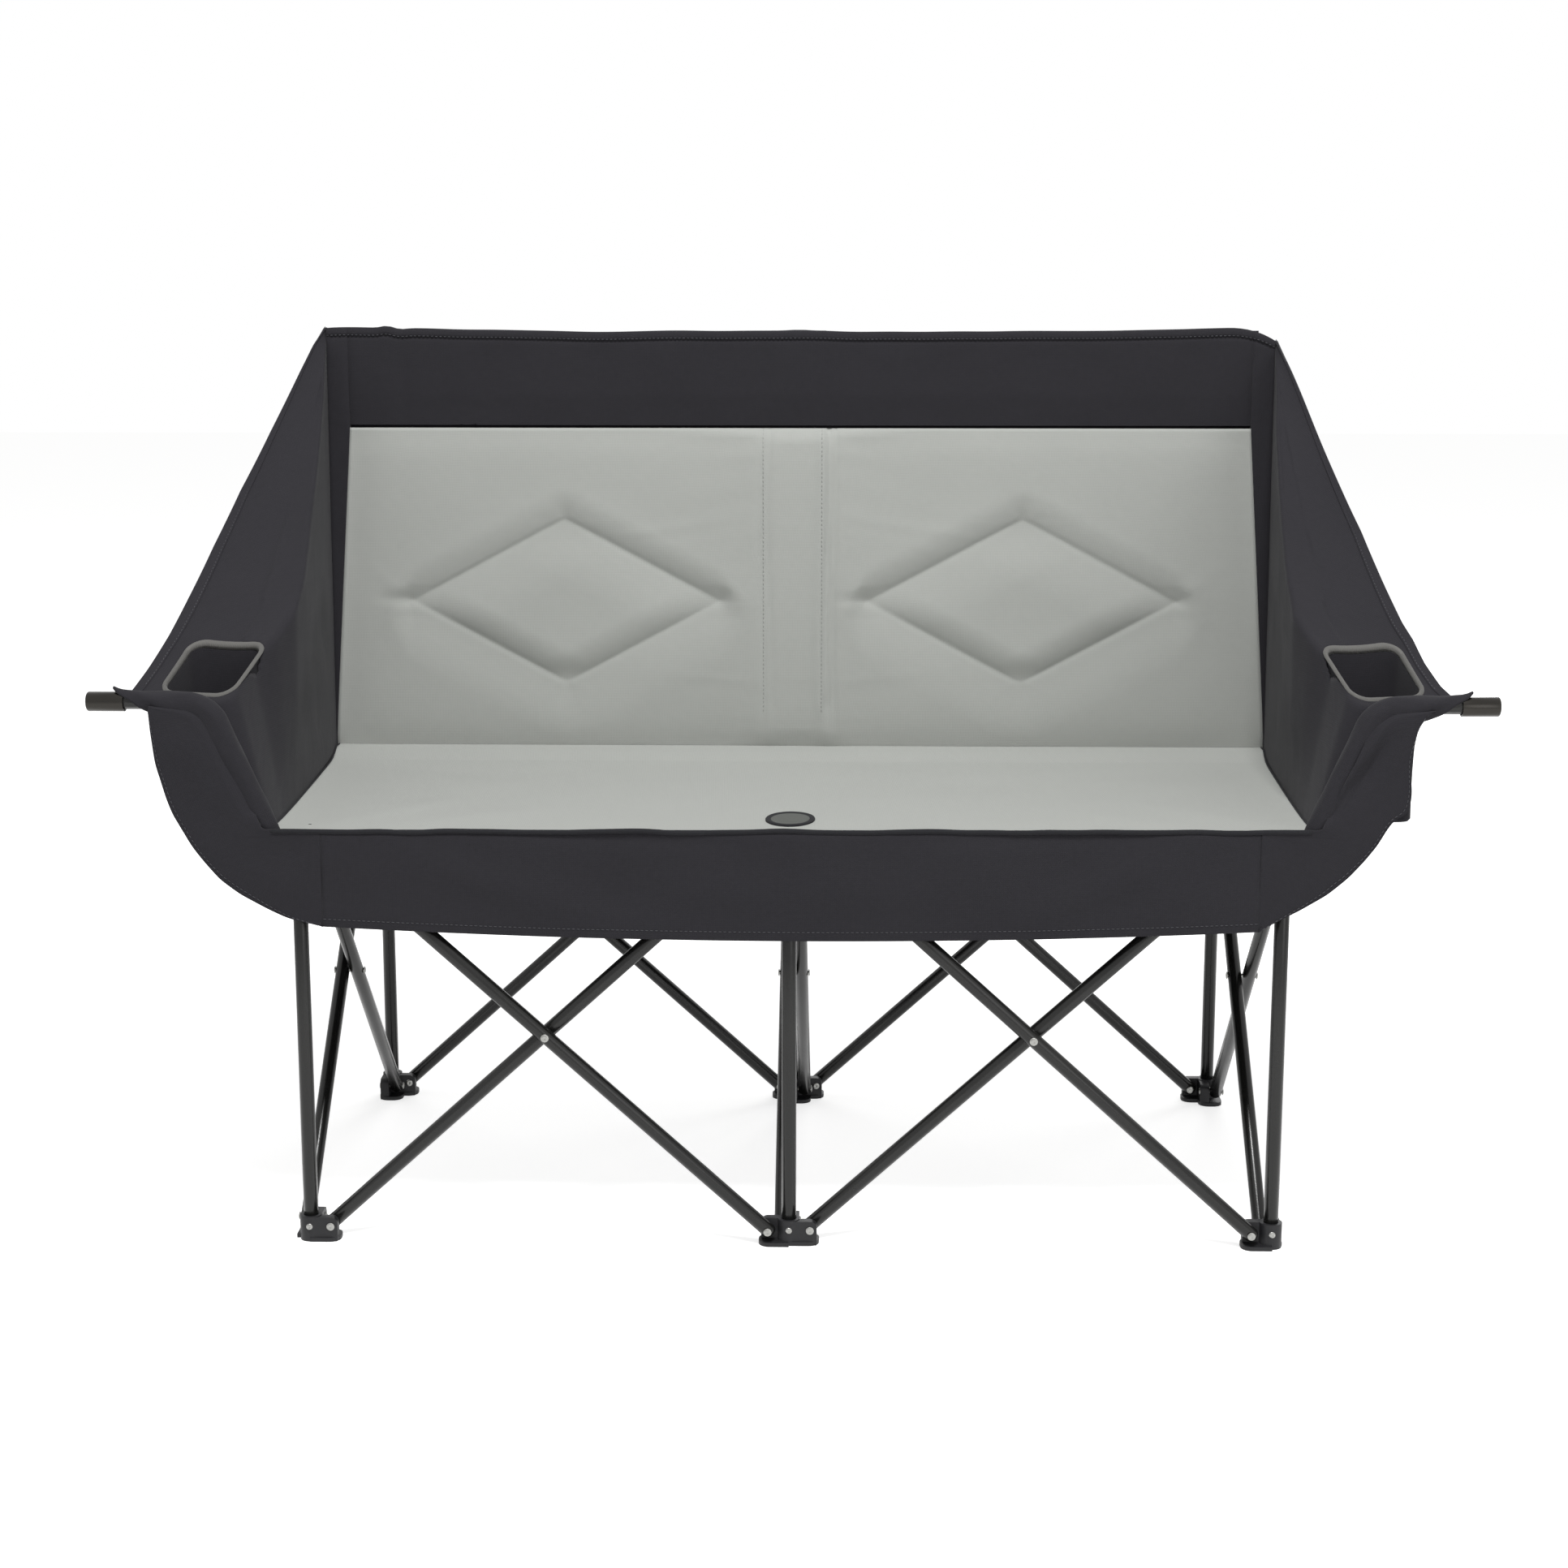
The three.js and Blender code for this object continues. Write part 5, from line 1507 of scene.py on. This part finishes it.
class LOVESEAT_OT_arms(bpy.types.Operator):
    """Adds the arm cloths and the sleeves that hold the arm tubes"""

    bl_idname = "loveseat.arms"
    bl_label = "Arms"

    def execute(self, context):
        for side_name, side in SIDES:
            self.panel(side_name, side)
            self.sleeve(side_name, side)
        return {"FINISHED"}

    def panel(self, side_name, side):
        """The arm's inner and top panels with the cup hole and the doubled hem."""
        fold = 48
        u = np.linspace(0, 1, 121)
        y = lerp(ARM_REAR_Y + 7.5, ARM_Y, u)
        depth = np.clip(arm_depth(y), 0, 1)
        half, top = seat_edges(y)
        seat_x = lerp(half + 3, arm_line(465), ramp(u, 0.97, 0.03))
        seat_z = top - 6 + side * leaning(half, y)
        crease_x, crease_z = crease_at(depth)
        hem_x, hem_z = hem_at(depth, side_name)
        rows = []
        for w in np.linspace(0, 1, fold + 1):
            rows.append(np.stack([lerp(seat_x, crease_x, w), y, lerp(seat_z, crease_z, w)], 1))
        for w in spread(0, (0.9, 39), (1, 8))[1:]:
            z = lerp(crease_z, hem_z, w) - PANEL_SAG * w * (1 - w) * sagging(depth)
            rows.append(np.stack([lerp(crease_x, hem_x, w), y, z], 1))
        points = np.array(rows).transpose(1, 0, 2)
        # The right rear corner hangs lower than the left one
        if side > 0:
            points[..., 2] -= 15 * (ramp(depth, 0.2, -0.2) ** 2)[:, None] * ramp(points[..., 2], 800, 150)
        across = np.arange(points.shape[1])
        # The crease is a soft fold
        for _ in range(3):
            smoothed = points.copy()
            smoothed[:, 1:-1] = (points[:, :-2] + 2 * points[:, 1:-1] + points[:, 2:]) / 4
            points = lerp(points, smoothed, hump(across, fold, 3)[None, :, None])
        normal = normals_of(points)
        normal = np.where(normal[..., :1] > 0, -normal, normal)
        along, lengths = -points[..., 1], lengths_along(points, 1)
        fade = domed(u)[:, None] * domed(across / across[-1])[None, :]
        shift = 1.1 * waves(along, lengths, 41 + side, 260) + folds_over(along, lengths, ARM_FOLDS)
        points = points + normal * (shift * fade)[..., None]
        uv = map_of(points)
        kept, used = self.cut_cup_hole(points, across >= fold - 4)
        points[..., 0] *= side
        order = np.cumsum(used) - 1
        faces = order[kept if side < 0 else kept[:, ::-1]].tolist()
        cloth = mesh_from("arm_panel", points.reshape(-1, 3)[used], faces, uv[used])
        thicken(cloth, sizes().cloth)
        hem = thicken(cloth_grid("hem", points[:, -9:], flip=side > 0), sizes().cloth * 2.2)
        cloth = join_in(clothe(cloth, "dark"), [hem], "dark")
        cloth = sew(cloth, "thread", [(points[:-6, -8] + np.array([0, 0, 2.0]), UPWARD)])
        cloth.name = f"arm_panel_{side_name}"
        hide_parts(f"arm_cloth_{side_name}")
        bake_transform(cloth)

    def cut_cup_hole(self, points, top_panel):
        """Leaves out the faces inside the hole and pulls the ragged edge onto its outline."""
        rows, columns = points.shape[:2]
        x, y = points[..., 0], points[..., 1]
        distance = cup_distance(x, y)
        quads = grid_faces(rows, columns)
        cut = (distance.ravel()[quads] < 0).all(1) & top_panel[quads[:, 0] % columns]
        used = np.zeros(rows * columns, bool)
        used[np.unique(quads[~cut])] = True
        pull = used.reshape(rows, columns) & (distance < 0) & top_panel[None, :]
        for _ in range(6):
            step_x = (cup_distance(x + TOUCH, y) - distance) / TOUCH * distance
            step_y = (cup_distance(x, y + TOUCH) - distance) / TOUCH * distance
            x[pull] -= step_x[pull]
            y[pull] -= step_y[pull]
            distance = cup_distance(x, y)
        return quads[~cut], used

    def sleeve(self, side_name, side):
        """Cloth wrapped round the arm tube, deeper where the arm cloth and the flank meet it."""
        level = 16
        stations = arm_stations(448, CAP_END - CAP_LENGTH, lower=12, level=level)
        run = run_along(stations[:, :2])
        run = run / run[-1]
        above, below, thin = [looked_up(run, table) for table in (SLEEVE_ABOVE, SLEEVE_BELOW, SLEEVE_THIN)]
        turns = round_angles(48)
        sine = np.sin(turns)
        mouth = looked_up(sine, SLEEVE_MOUTH)
        level_from = len(stations) - level
        start_x = stations[level_from - 1, 0]
        rings = []
        for k, (x, z, slope) in enumerate(stations):
            ripple = 0.03 * np.sin(3 * turns + 9 * run[k] * math.pi) + 0.02 * np.sin(5 * turns - 21 * run[k])
            lift = np.where(sine > 0, above[k], below[k]) * np.sign(sine) * np.abs(sine) ** 0.9
            lift *= 1 + ripple
            # Where the sleeve hangs deep, its lower part is drawn thin
            drawn = np.where(sine < 0, 1 - 0.45 * np.abs(sine) ** 3 * (below[k] > 16), 1)
            y = ARM_Y + thin[k] * (1 + ripple) * np.cos(turns) * drawn
            if k >= level_from:
                x = lerp(start_x, mouth, (k + 1 - level_from) / level)
            rings.append(np.stack([side * (x - lift * math.sin(slope)), y, z + lift * math.cos(slope)], 1))
        points = np.array(rings)
        # Folds across the sleeve near the mouth, as cloth pulled tight over the tube makes
        out = np.abs(points[..., 0])
        points[..., 1] -= 1.3 * ramp(out, 640, 30) * np.sin((out - points[..., 2] * 0.8) / 7)
        points[..., 2] += 3.5 * np.square(ramp(out, 700, 13) * np.clip(sine, 0, 1)[None, :])
        sleeve = weld(cloth_grid("arm_sleeve", closed(points), flip=side > 0))
        thicken(sleeve, sizes().cloth * 1.1, offset=-1.0)
        clothe(sleeve, "dark")
        settle(sleeve, f"arm_sleeve_{side_name}", f"hub_front_{side_name}")


# Cup pockets

# The tape round the mouth in section: reach into the hole and height over the arm
TAPE_SECTION = ((3.2, -4), (3.4, 0), (3.1, 1.7), (2.2, 2.6), (1, 2.8), (-0.6, 2.5), (-1.9, 1.8), (-2.3, 0.8),
                (-1.7, 0), (0, 0.4), (1.7, -0.4), (1.9, -4))
# The pocket's floor, drawn in towards its middle: share of the outline and height
POCKET_FLOOR = ((0.86, 469.6), (0.78, 468.6), (0.5, 468.4), (0.2, 468.4), (0.03, 468.4))


class LOVESEAT_OT_cups(bpy.types.Operator):
    """Adds the cup pockets with the tape round their mouths"""

    bl_idname = "loveseat.cups"
    bl_label = "Cup pockets"

    def execute(self, context):
        for side_name, side in SIDES:
            self.rim(side_name, side)
            self.pocket(side_name, side)
        return {"FINISHED"}

    def rim(self, side_name, side):
        """Pale tape folded over the edge of the hole."""
        rings = []
        for shrink, lift in TAPE_SECTION:
            x, y = (np.array(CUP[:2]) + cup_outline(shrink)).T
            rings.append(np.stack([side * x, y, arm_height(x, y, side_name) + lift], 1))
        rim = weld(cloth_grid("cup_tape", closed(closed(np.array(rings)).transpose(1, 0, 2))))
        clothe(face_out(rim), "rim")
        settle(rim, f"cup_tape_{side_name}", f"arm_front_{side_name}", [f"cup_rim_{side_name}"])

    def pocket(self, side_name, side):
        """A hung pocket that narrows downwards, with slack folds in its wall."""
        outline = cup_outline(1.2)
        turns = np.arctan2(outline[:, 1], outline[:, 0])
        middle = np.array(CUP[:2])
        mouth = arm_height(*(middle + outline).T, side_name) - 1.5
        drawn = []
        for share in np.linspace(0, 1, 30):
            slack = 0.025 * np.sin(4 * turns + 1 + side) + 0.02 * np.sin(7 * turns + 5 * share)
            narrowed = lerp(1, 0.9, share) - 0.03 * math.sin(math.pi * share)
            drawn.append((narrowed * (1 + share * 0.5 * slack), lerp(mouth, POCKET_BOTTOM, share)))
        rings = []
        for scale, z in drawn + list(POCKET_FLOOR):
            x, y = (middle + outline * np.reshape(scale, (-1, 1))).T
            rings.append(np.stack([side * x, y, z + 0 * x], 1))
        pocket = weld(cloth_grid("cup_bag", closed(np.array(rings)), flip=side < 0))
        open_edit(pocket, "EDGE", lambda edge: edge.is_boundary and edge_middle(edge)[2] < POCKET_BOTTOM - 2)
        bpy.ops.mesh.edge_face_add()
        close_edit()
        smooth(thicken(pocket, sizes().cloth * 0.9, offset=-1.0), 60)
        clothe(pocket, "dark")
        settle(pocket, f"cup_bag_{side_name}", f"arm_front_{side_name}",
               [f"cup_pocket_{side_name}"])


# Front

# Outer edge of each flank from the skirt's seam up to the arm tube; the right one hangs in a pouch
FLANK_EDGE = {
    "left": ((497, 358), (534, 367), (555, 377), (584, 393), (605, 409), (621, 428), (633, 444), (643, 462),
             (653, 480), (659, 497), (664, 516), (669, 534), (671, 553), (673, 571), (674, 590)),
    "right": ((497, 358), (517, 370), (540, 382), (568, 399), (589, 417), (605, 435), (618, 452), (628, 470),
              (634, 479), (649, 487), (652, 506), (649, 540), (655, 575), (664, 592))}
# Folds as start, end, width and lift, which is below zero to the front
FLANK_FOLDS = {"left": (((640, 560), (560, 440), 22, -2.2),),
               "right": (((612, 574), (556, 482), 11, -8.0), ((628, 566), (576, 486), 10, 6.0))}
SKIRT_FOLDS = (((-420, 440), (-210, 372), 20, -3.6), ((-120, 400), (150, 392), 26, -3.0),
               ((430, 446), (250, 372), 20, -3.2), ((-60, 450), (-330, 462), 9, 2.0),
               ((120, 455), (380, 460), 9, 1.8))


class LOVESEAT_OT_front(bpy.types.Operator):
    """Adds the front cloth: a skirt, a flank under each arm and the piping along the seat"""

    bl_idname = "loveseat.front"
    bl_label = "Front cloth"

    def execute(self, context):
        self.skirt()
        for side_name, side in SIDES:
            self.flank(side_name, side)
        return {"FINISHED"}

    def skirt(self):
        """The cloth between the outer front posts, hemmed at its foot, with piping along the seat."""
        u = np.linspace(-1, 1, 181)[None, :]
        v = spread(0, (0.06, 5), (1, 44))[:, None]
        x = SKIRT_HALF * u + 0 * v
        z = lerp(SKIRT_FOOT + SKIRT_FOOT_RISE * u ** 2, 465 + leaning(x), v)
        y = FRONT_FACE + 2.6 * waves(x, z * 1.2, 61, 260) * np.sin(np.pi * 0.9 * v)
        y += folds_over(x, z, SKIRT_FOLDS) + 2.6 * ramp(v, 0.95, 0.05) + np.exp(-16 * v)
        points = np.stack([x, y, z], 2)
        cloth = clothe(thicken(cloth_grid("front_cloth_middle", points), sizes().cloth), "dark")
        cloth = sew(cloth, "thread", [(points[6] + np.array([0, -0.9, 0]), FRONTWARD)], 0.45, 0.25)
        along = np.linspace(-PIPING_HALF, PIPING_HALF, 181)
        height = 463.6 + leaning(along) + 0.9 * waves(along, 0 * along, 3, 130)
        line = np.stack([along, 0 * along + FRONT_FACE + FIT, height], 1)
        turns = round_angles(12)
        section = PIPING * np.stack([0 * turns, np.cos(turns), np.sin(turns)], 1)
        cloth = join_in(cloth, [cap_tube("piping", closed(line[:, None, :] + section[None, :, :]))], "edging")
        settle(cloth, "front_cloth_middle", "hub_front_centre", ["front_skirt"])
        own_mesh(cloth)

    def flank(self, side_name, side):
        """The cloth between the skirt, the seat's corner and the arm tube."""
        shares, across = np.linspace(0, 1, 81), np.linspace(0, 1, 41)[None, :]
        outer = evenly(np.array(FLANK_EDGE[side_name], float), shares)
        for _ in range(3):
            outer[1:-1] = (outer[:-2] + 2 * outer[1:-1] + outer[2:]) / 4
        # The inner border runs up the skirt's seam, along the seat's corner and up under the arm tube
        tube_x, tube_z, slope = arm_stations(466, 674, bends=12, lower=24, level=6).T
        tube_x, tube_z = tube_x + 3 * np.sin(slope), tube_z - 3 * np.cos(slope)
        corner = 466 + side * leaning(530)
        foot = SKIRT_FOOT + SKIRT_FOOT_RISE
        seam = np.stack([np.full(14, SKIRT_HALF), np.linspace(foot, corner - 1, 14)], 1)
        under_seat = np.stack([np.linspace(SKIRT_HALF, tube_x[0], 10)[1:], np.full(9, corner)], 1)
        under_tube = np.stack([tube_x, np.maximum(tube_z, corner)], 1)[1:]
        inner = evenly(np.concatenate([seam, under_seat, under_tube]), shares)
        x, z = [lerp(inner[:, axis, None], outer[:, axis, None], across) for axis in (0, 1)]
        y = FRONT_FACE + 2.4 * waves(x, z, 71 + side, 170) * np.sin(np.pi * np.clip(across, 0.02, 0.98))
        y += folds_over(x, z, FLANK_FOLDS[side_name])
        # Its upper part tucks in behind the seat's corner and the arm tube
        y += 6 * ramp(across, 1 / 6, -1 / 6) * ramp(z, 474, 12)
        points = np.stack([side * x, y, z], 2)
        cloth = clothe(thicken(cloth_grid("front_cloth", points, flip=side < 0), sizes().cloth), "dark")
        cloth = sew(cloth, "thread", [(points[1:-1, -3] + np.array([0, -1.0, 0]), FRONTWARD)], 0.45, 0.25)
        settle(cloth, f"front_cloth_{side_name}", f"hub_front_{side_name}",
               [f"front_flank_{side_name}"])


# Stage

# Square lamps in metres and watts: name, place, aim, size and power
LIGHTS = (("key", (0.1, -2.1, 4.2), (0, 0, 0.6), 1.0, 164),
          ("fill", (2.6, -3.6, 1.5), (0, 0, 0.5), 2.0, 20),
          ("behind", (1.2, 4.0, 2.6), (0, 0, 0.6), 2.4, 62))
# The camera, as matched to the photograph, in millimetres of film, metres and degrees
LENS = 60.45
FILM = 36
CAMERA_PLACE = (0.062, -3.001, 1.038)
CAMERA_DOWN = 10.89
CAMERA_LEFT = 1.41


def seen_directly(tree):
    """1 for the camera's rays and for mirrored and passed-through ones, 0 for light that falls on things."""
    rays = add_node(tree, "ShaderNodeLightPath")
    seen = rays.outputs["Is Camera Ray"]
    for kind in ("Is Glossy Ray", "Is Transmission Ray"):
        seen = combined(tree, seen, rays.outputs[kind], "MAXIMUM")
    return seen


class LOVESEAT_OT_stage(bpy.types.Operator):
    """Adds the pale floor, the soft studio light and the camera at the photograph's angle"""

    bl_idname = "loveseat.stage"
    bl_label = "Stage"

    def execute(self, context):
        scene = context.scene
        self.floor()
        self.world(scene)
        for name, place, aim, size, power in LIGHTS:
            lamp = bpy.data.lights.new(name, "AREA")
            lamp.shape = "SQUARE"
            lamp.size = size
            lamp.energy = power
            obj = bpy.data.objects.new(name, lamp)
            obj.location = place
            obj.rotation_euler = (Vector(aim) - Vector(place)).to_track_quat("-Z", "Y").to_euler()
            scene.collection.objects.link(obj)
        view = bpy.data.cameras.new("camera")
        view.lens = LENS
        view.sensor_width = FILM
        view.clip_start, view.clip_end = 0.05, 60
        camera = bpy.data.objects.new("camera", view)
        camera.location = CAMERA_PLACE
        camera.rotation_euler = (math.radians(90 - CAMERA_DOWN), 0, math.radians(CAMERA_LEFT))
        scene.collection.objects.link(camera)
        scene.camera = camera
        scene.view_settings.view_transform = "Standard"
        return {"FINISHED"}

    def floor(self):
        """A matt floor that glows a little where it is looked at, so that its edge doesn't show."""
        bpy.ops.object.select_all(action="DESELECT")
        bpy.ops.mesh.primitive_plane_add(size=30, location=(0, 0, -0.0002))
        floor = bpy.context.active_object
        floor.name = "floor"
        material, tree = new_material("pale_floor")
        matt = add_node(tree, "ShaderNodeBsdfDiffuse", {"Color": tuple(colours().floor)})
        glow = add_node(tree, "ShaderNodeEmission", {
            "Strength": combined(tree, seen_directly(tree), 0.71, "MULTIPLY")})
        both = add_node(tree, "ShaderNodeAddShader", {0: matt.outputs[0], 1: glow.outputs[0]})
        add_node(tree, "ShaderNodeOutputMaterial", {"Surface": both.outputs[0]})
        floor.data.materials.append(material)

    def world(self, scene):
        """A white studio that lights things less than it shows."""
        world = bpy.data.worlds.new("studio")
        world.use_nodes = True
        tree = world.node_tree
        tree.nodes.clear()
        level = ranged(tree, seen_directly(tree), 0.29, 1.0)
        sky = add_node(tree, "ShaderNodeBackground", {"Color": (1, 1, 1, 1), "Strength": level})
        add_node(tree, "ShaderNodeOutputWorld", {"Surface": sky.outputs[0]})
        scene.world = world


STEPS = ("stage", "bars", "rivets", "posts", "feet", "hubs", "caps", "seat", "back", "arms", "cups", "front")


class LOVESEAT_PT_panel(bpy.types.Panel):
    """The steps of the build, with the sizes and colours that they read"""

    bl_idname = "LOVESEAT_PT_panel"
    bl_label = "Folding camping loveseat"
    bl_space_type = "VIEW_3D"
    bl_region_type = "UI"
    bl_category = "Loveseat"

    def draw(self, context):
        for step in STEPS:
            self.layout.operator(f"loveseat.{step}")
        for group in (context.scene.loveseat_sizes, context.scene.loveseat_colours):
            box = self.layout.box()
            for name in group.bl_rna.properties.keys():
                if name not in ("rna_type", "name"):
                    box.prop(group, name)


CLASSES = (LoveseatSizes, LoveseatColours, LOVESEAT_OT_stage, LOVESEAT_OT_bars, LOVESEAT_OT_rivets,
           LOVESEAT_OT_posts, LOVESEAT_OT_feet, LOVESEAT_OT_hubs, LOVESEAT_OT_caps, LOVESEAT_OT_seat,
           LOVESEAT_OT_back, LOVESEAT_OT_arms, LOVESEAT_OT_cups, LOVESEAT_OT_front, LOVESEAT_PT_panel)


def register():
    for one in CLASSES:
        bpy.utils.register_class(one)
    bpy.types.Scene.loveseat_sizes = bpy.props.PointerProperty(type=LoveseatSizes)
    bpy.types.Scene.loveseat_colours = bpy.props.PointerProperty(type=LoveseatColours)


def unregister():
    del bpy.types.Scene.loveseat_colours
    del bpy.types.Scene.loveseat_sizes
    for one in reversed(CLASSES):
        bpy.utils.unregister_class(one)


def main():
    register()
    for step in STEPS:
        getattr(bpy.ops.loveseat, step)()


if __name__ == "__main__":
    main()
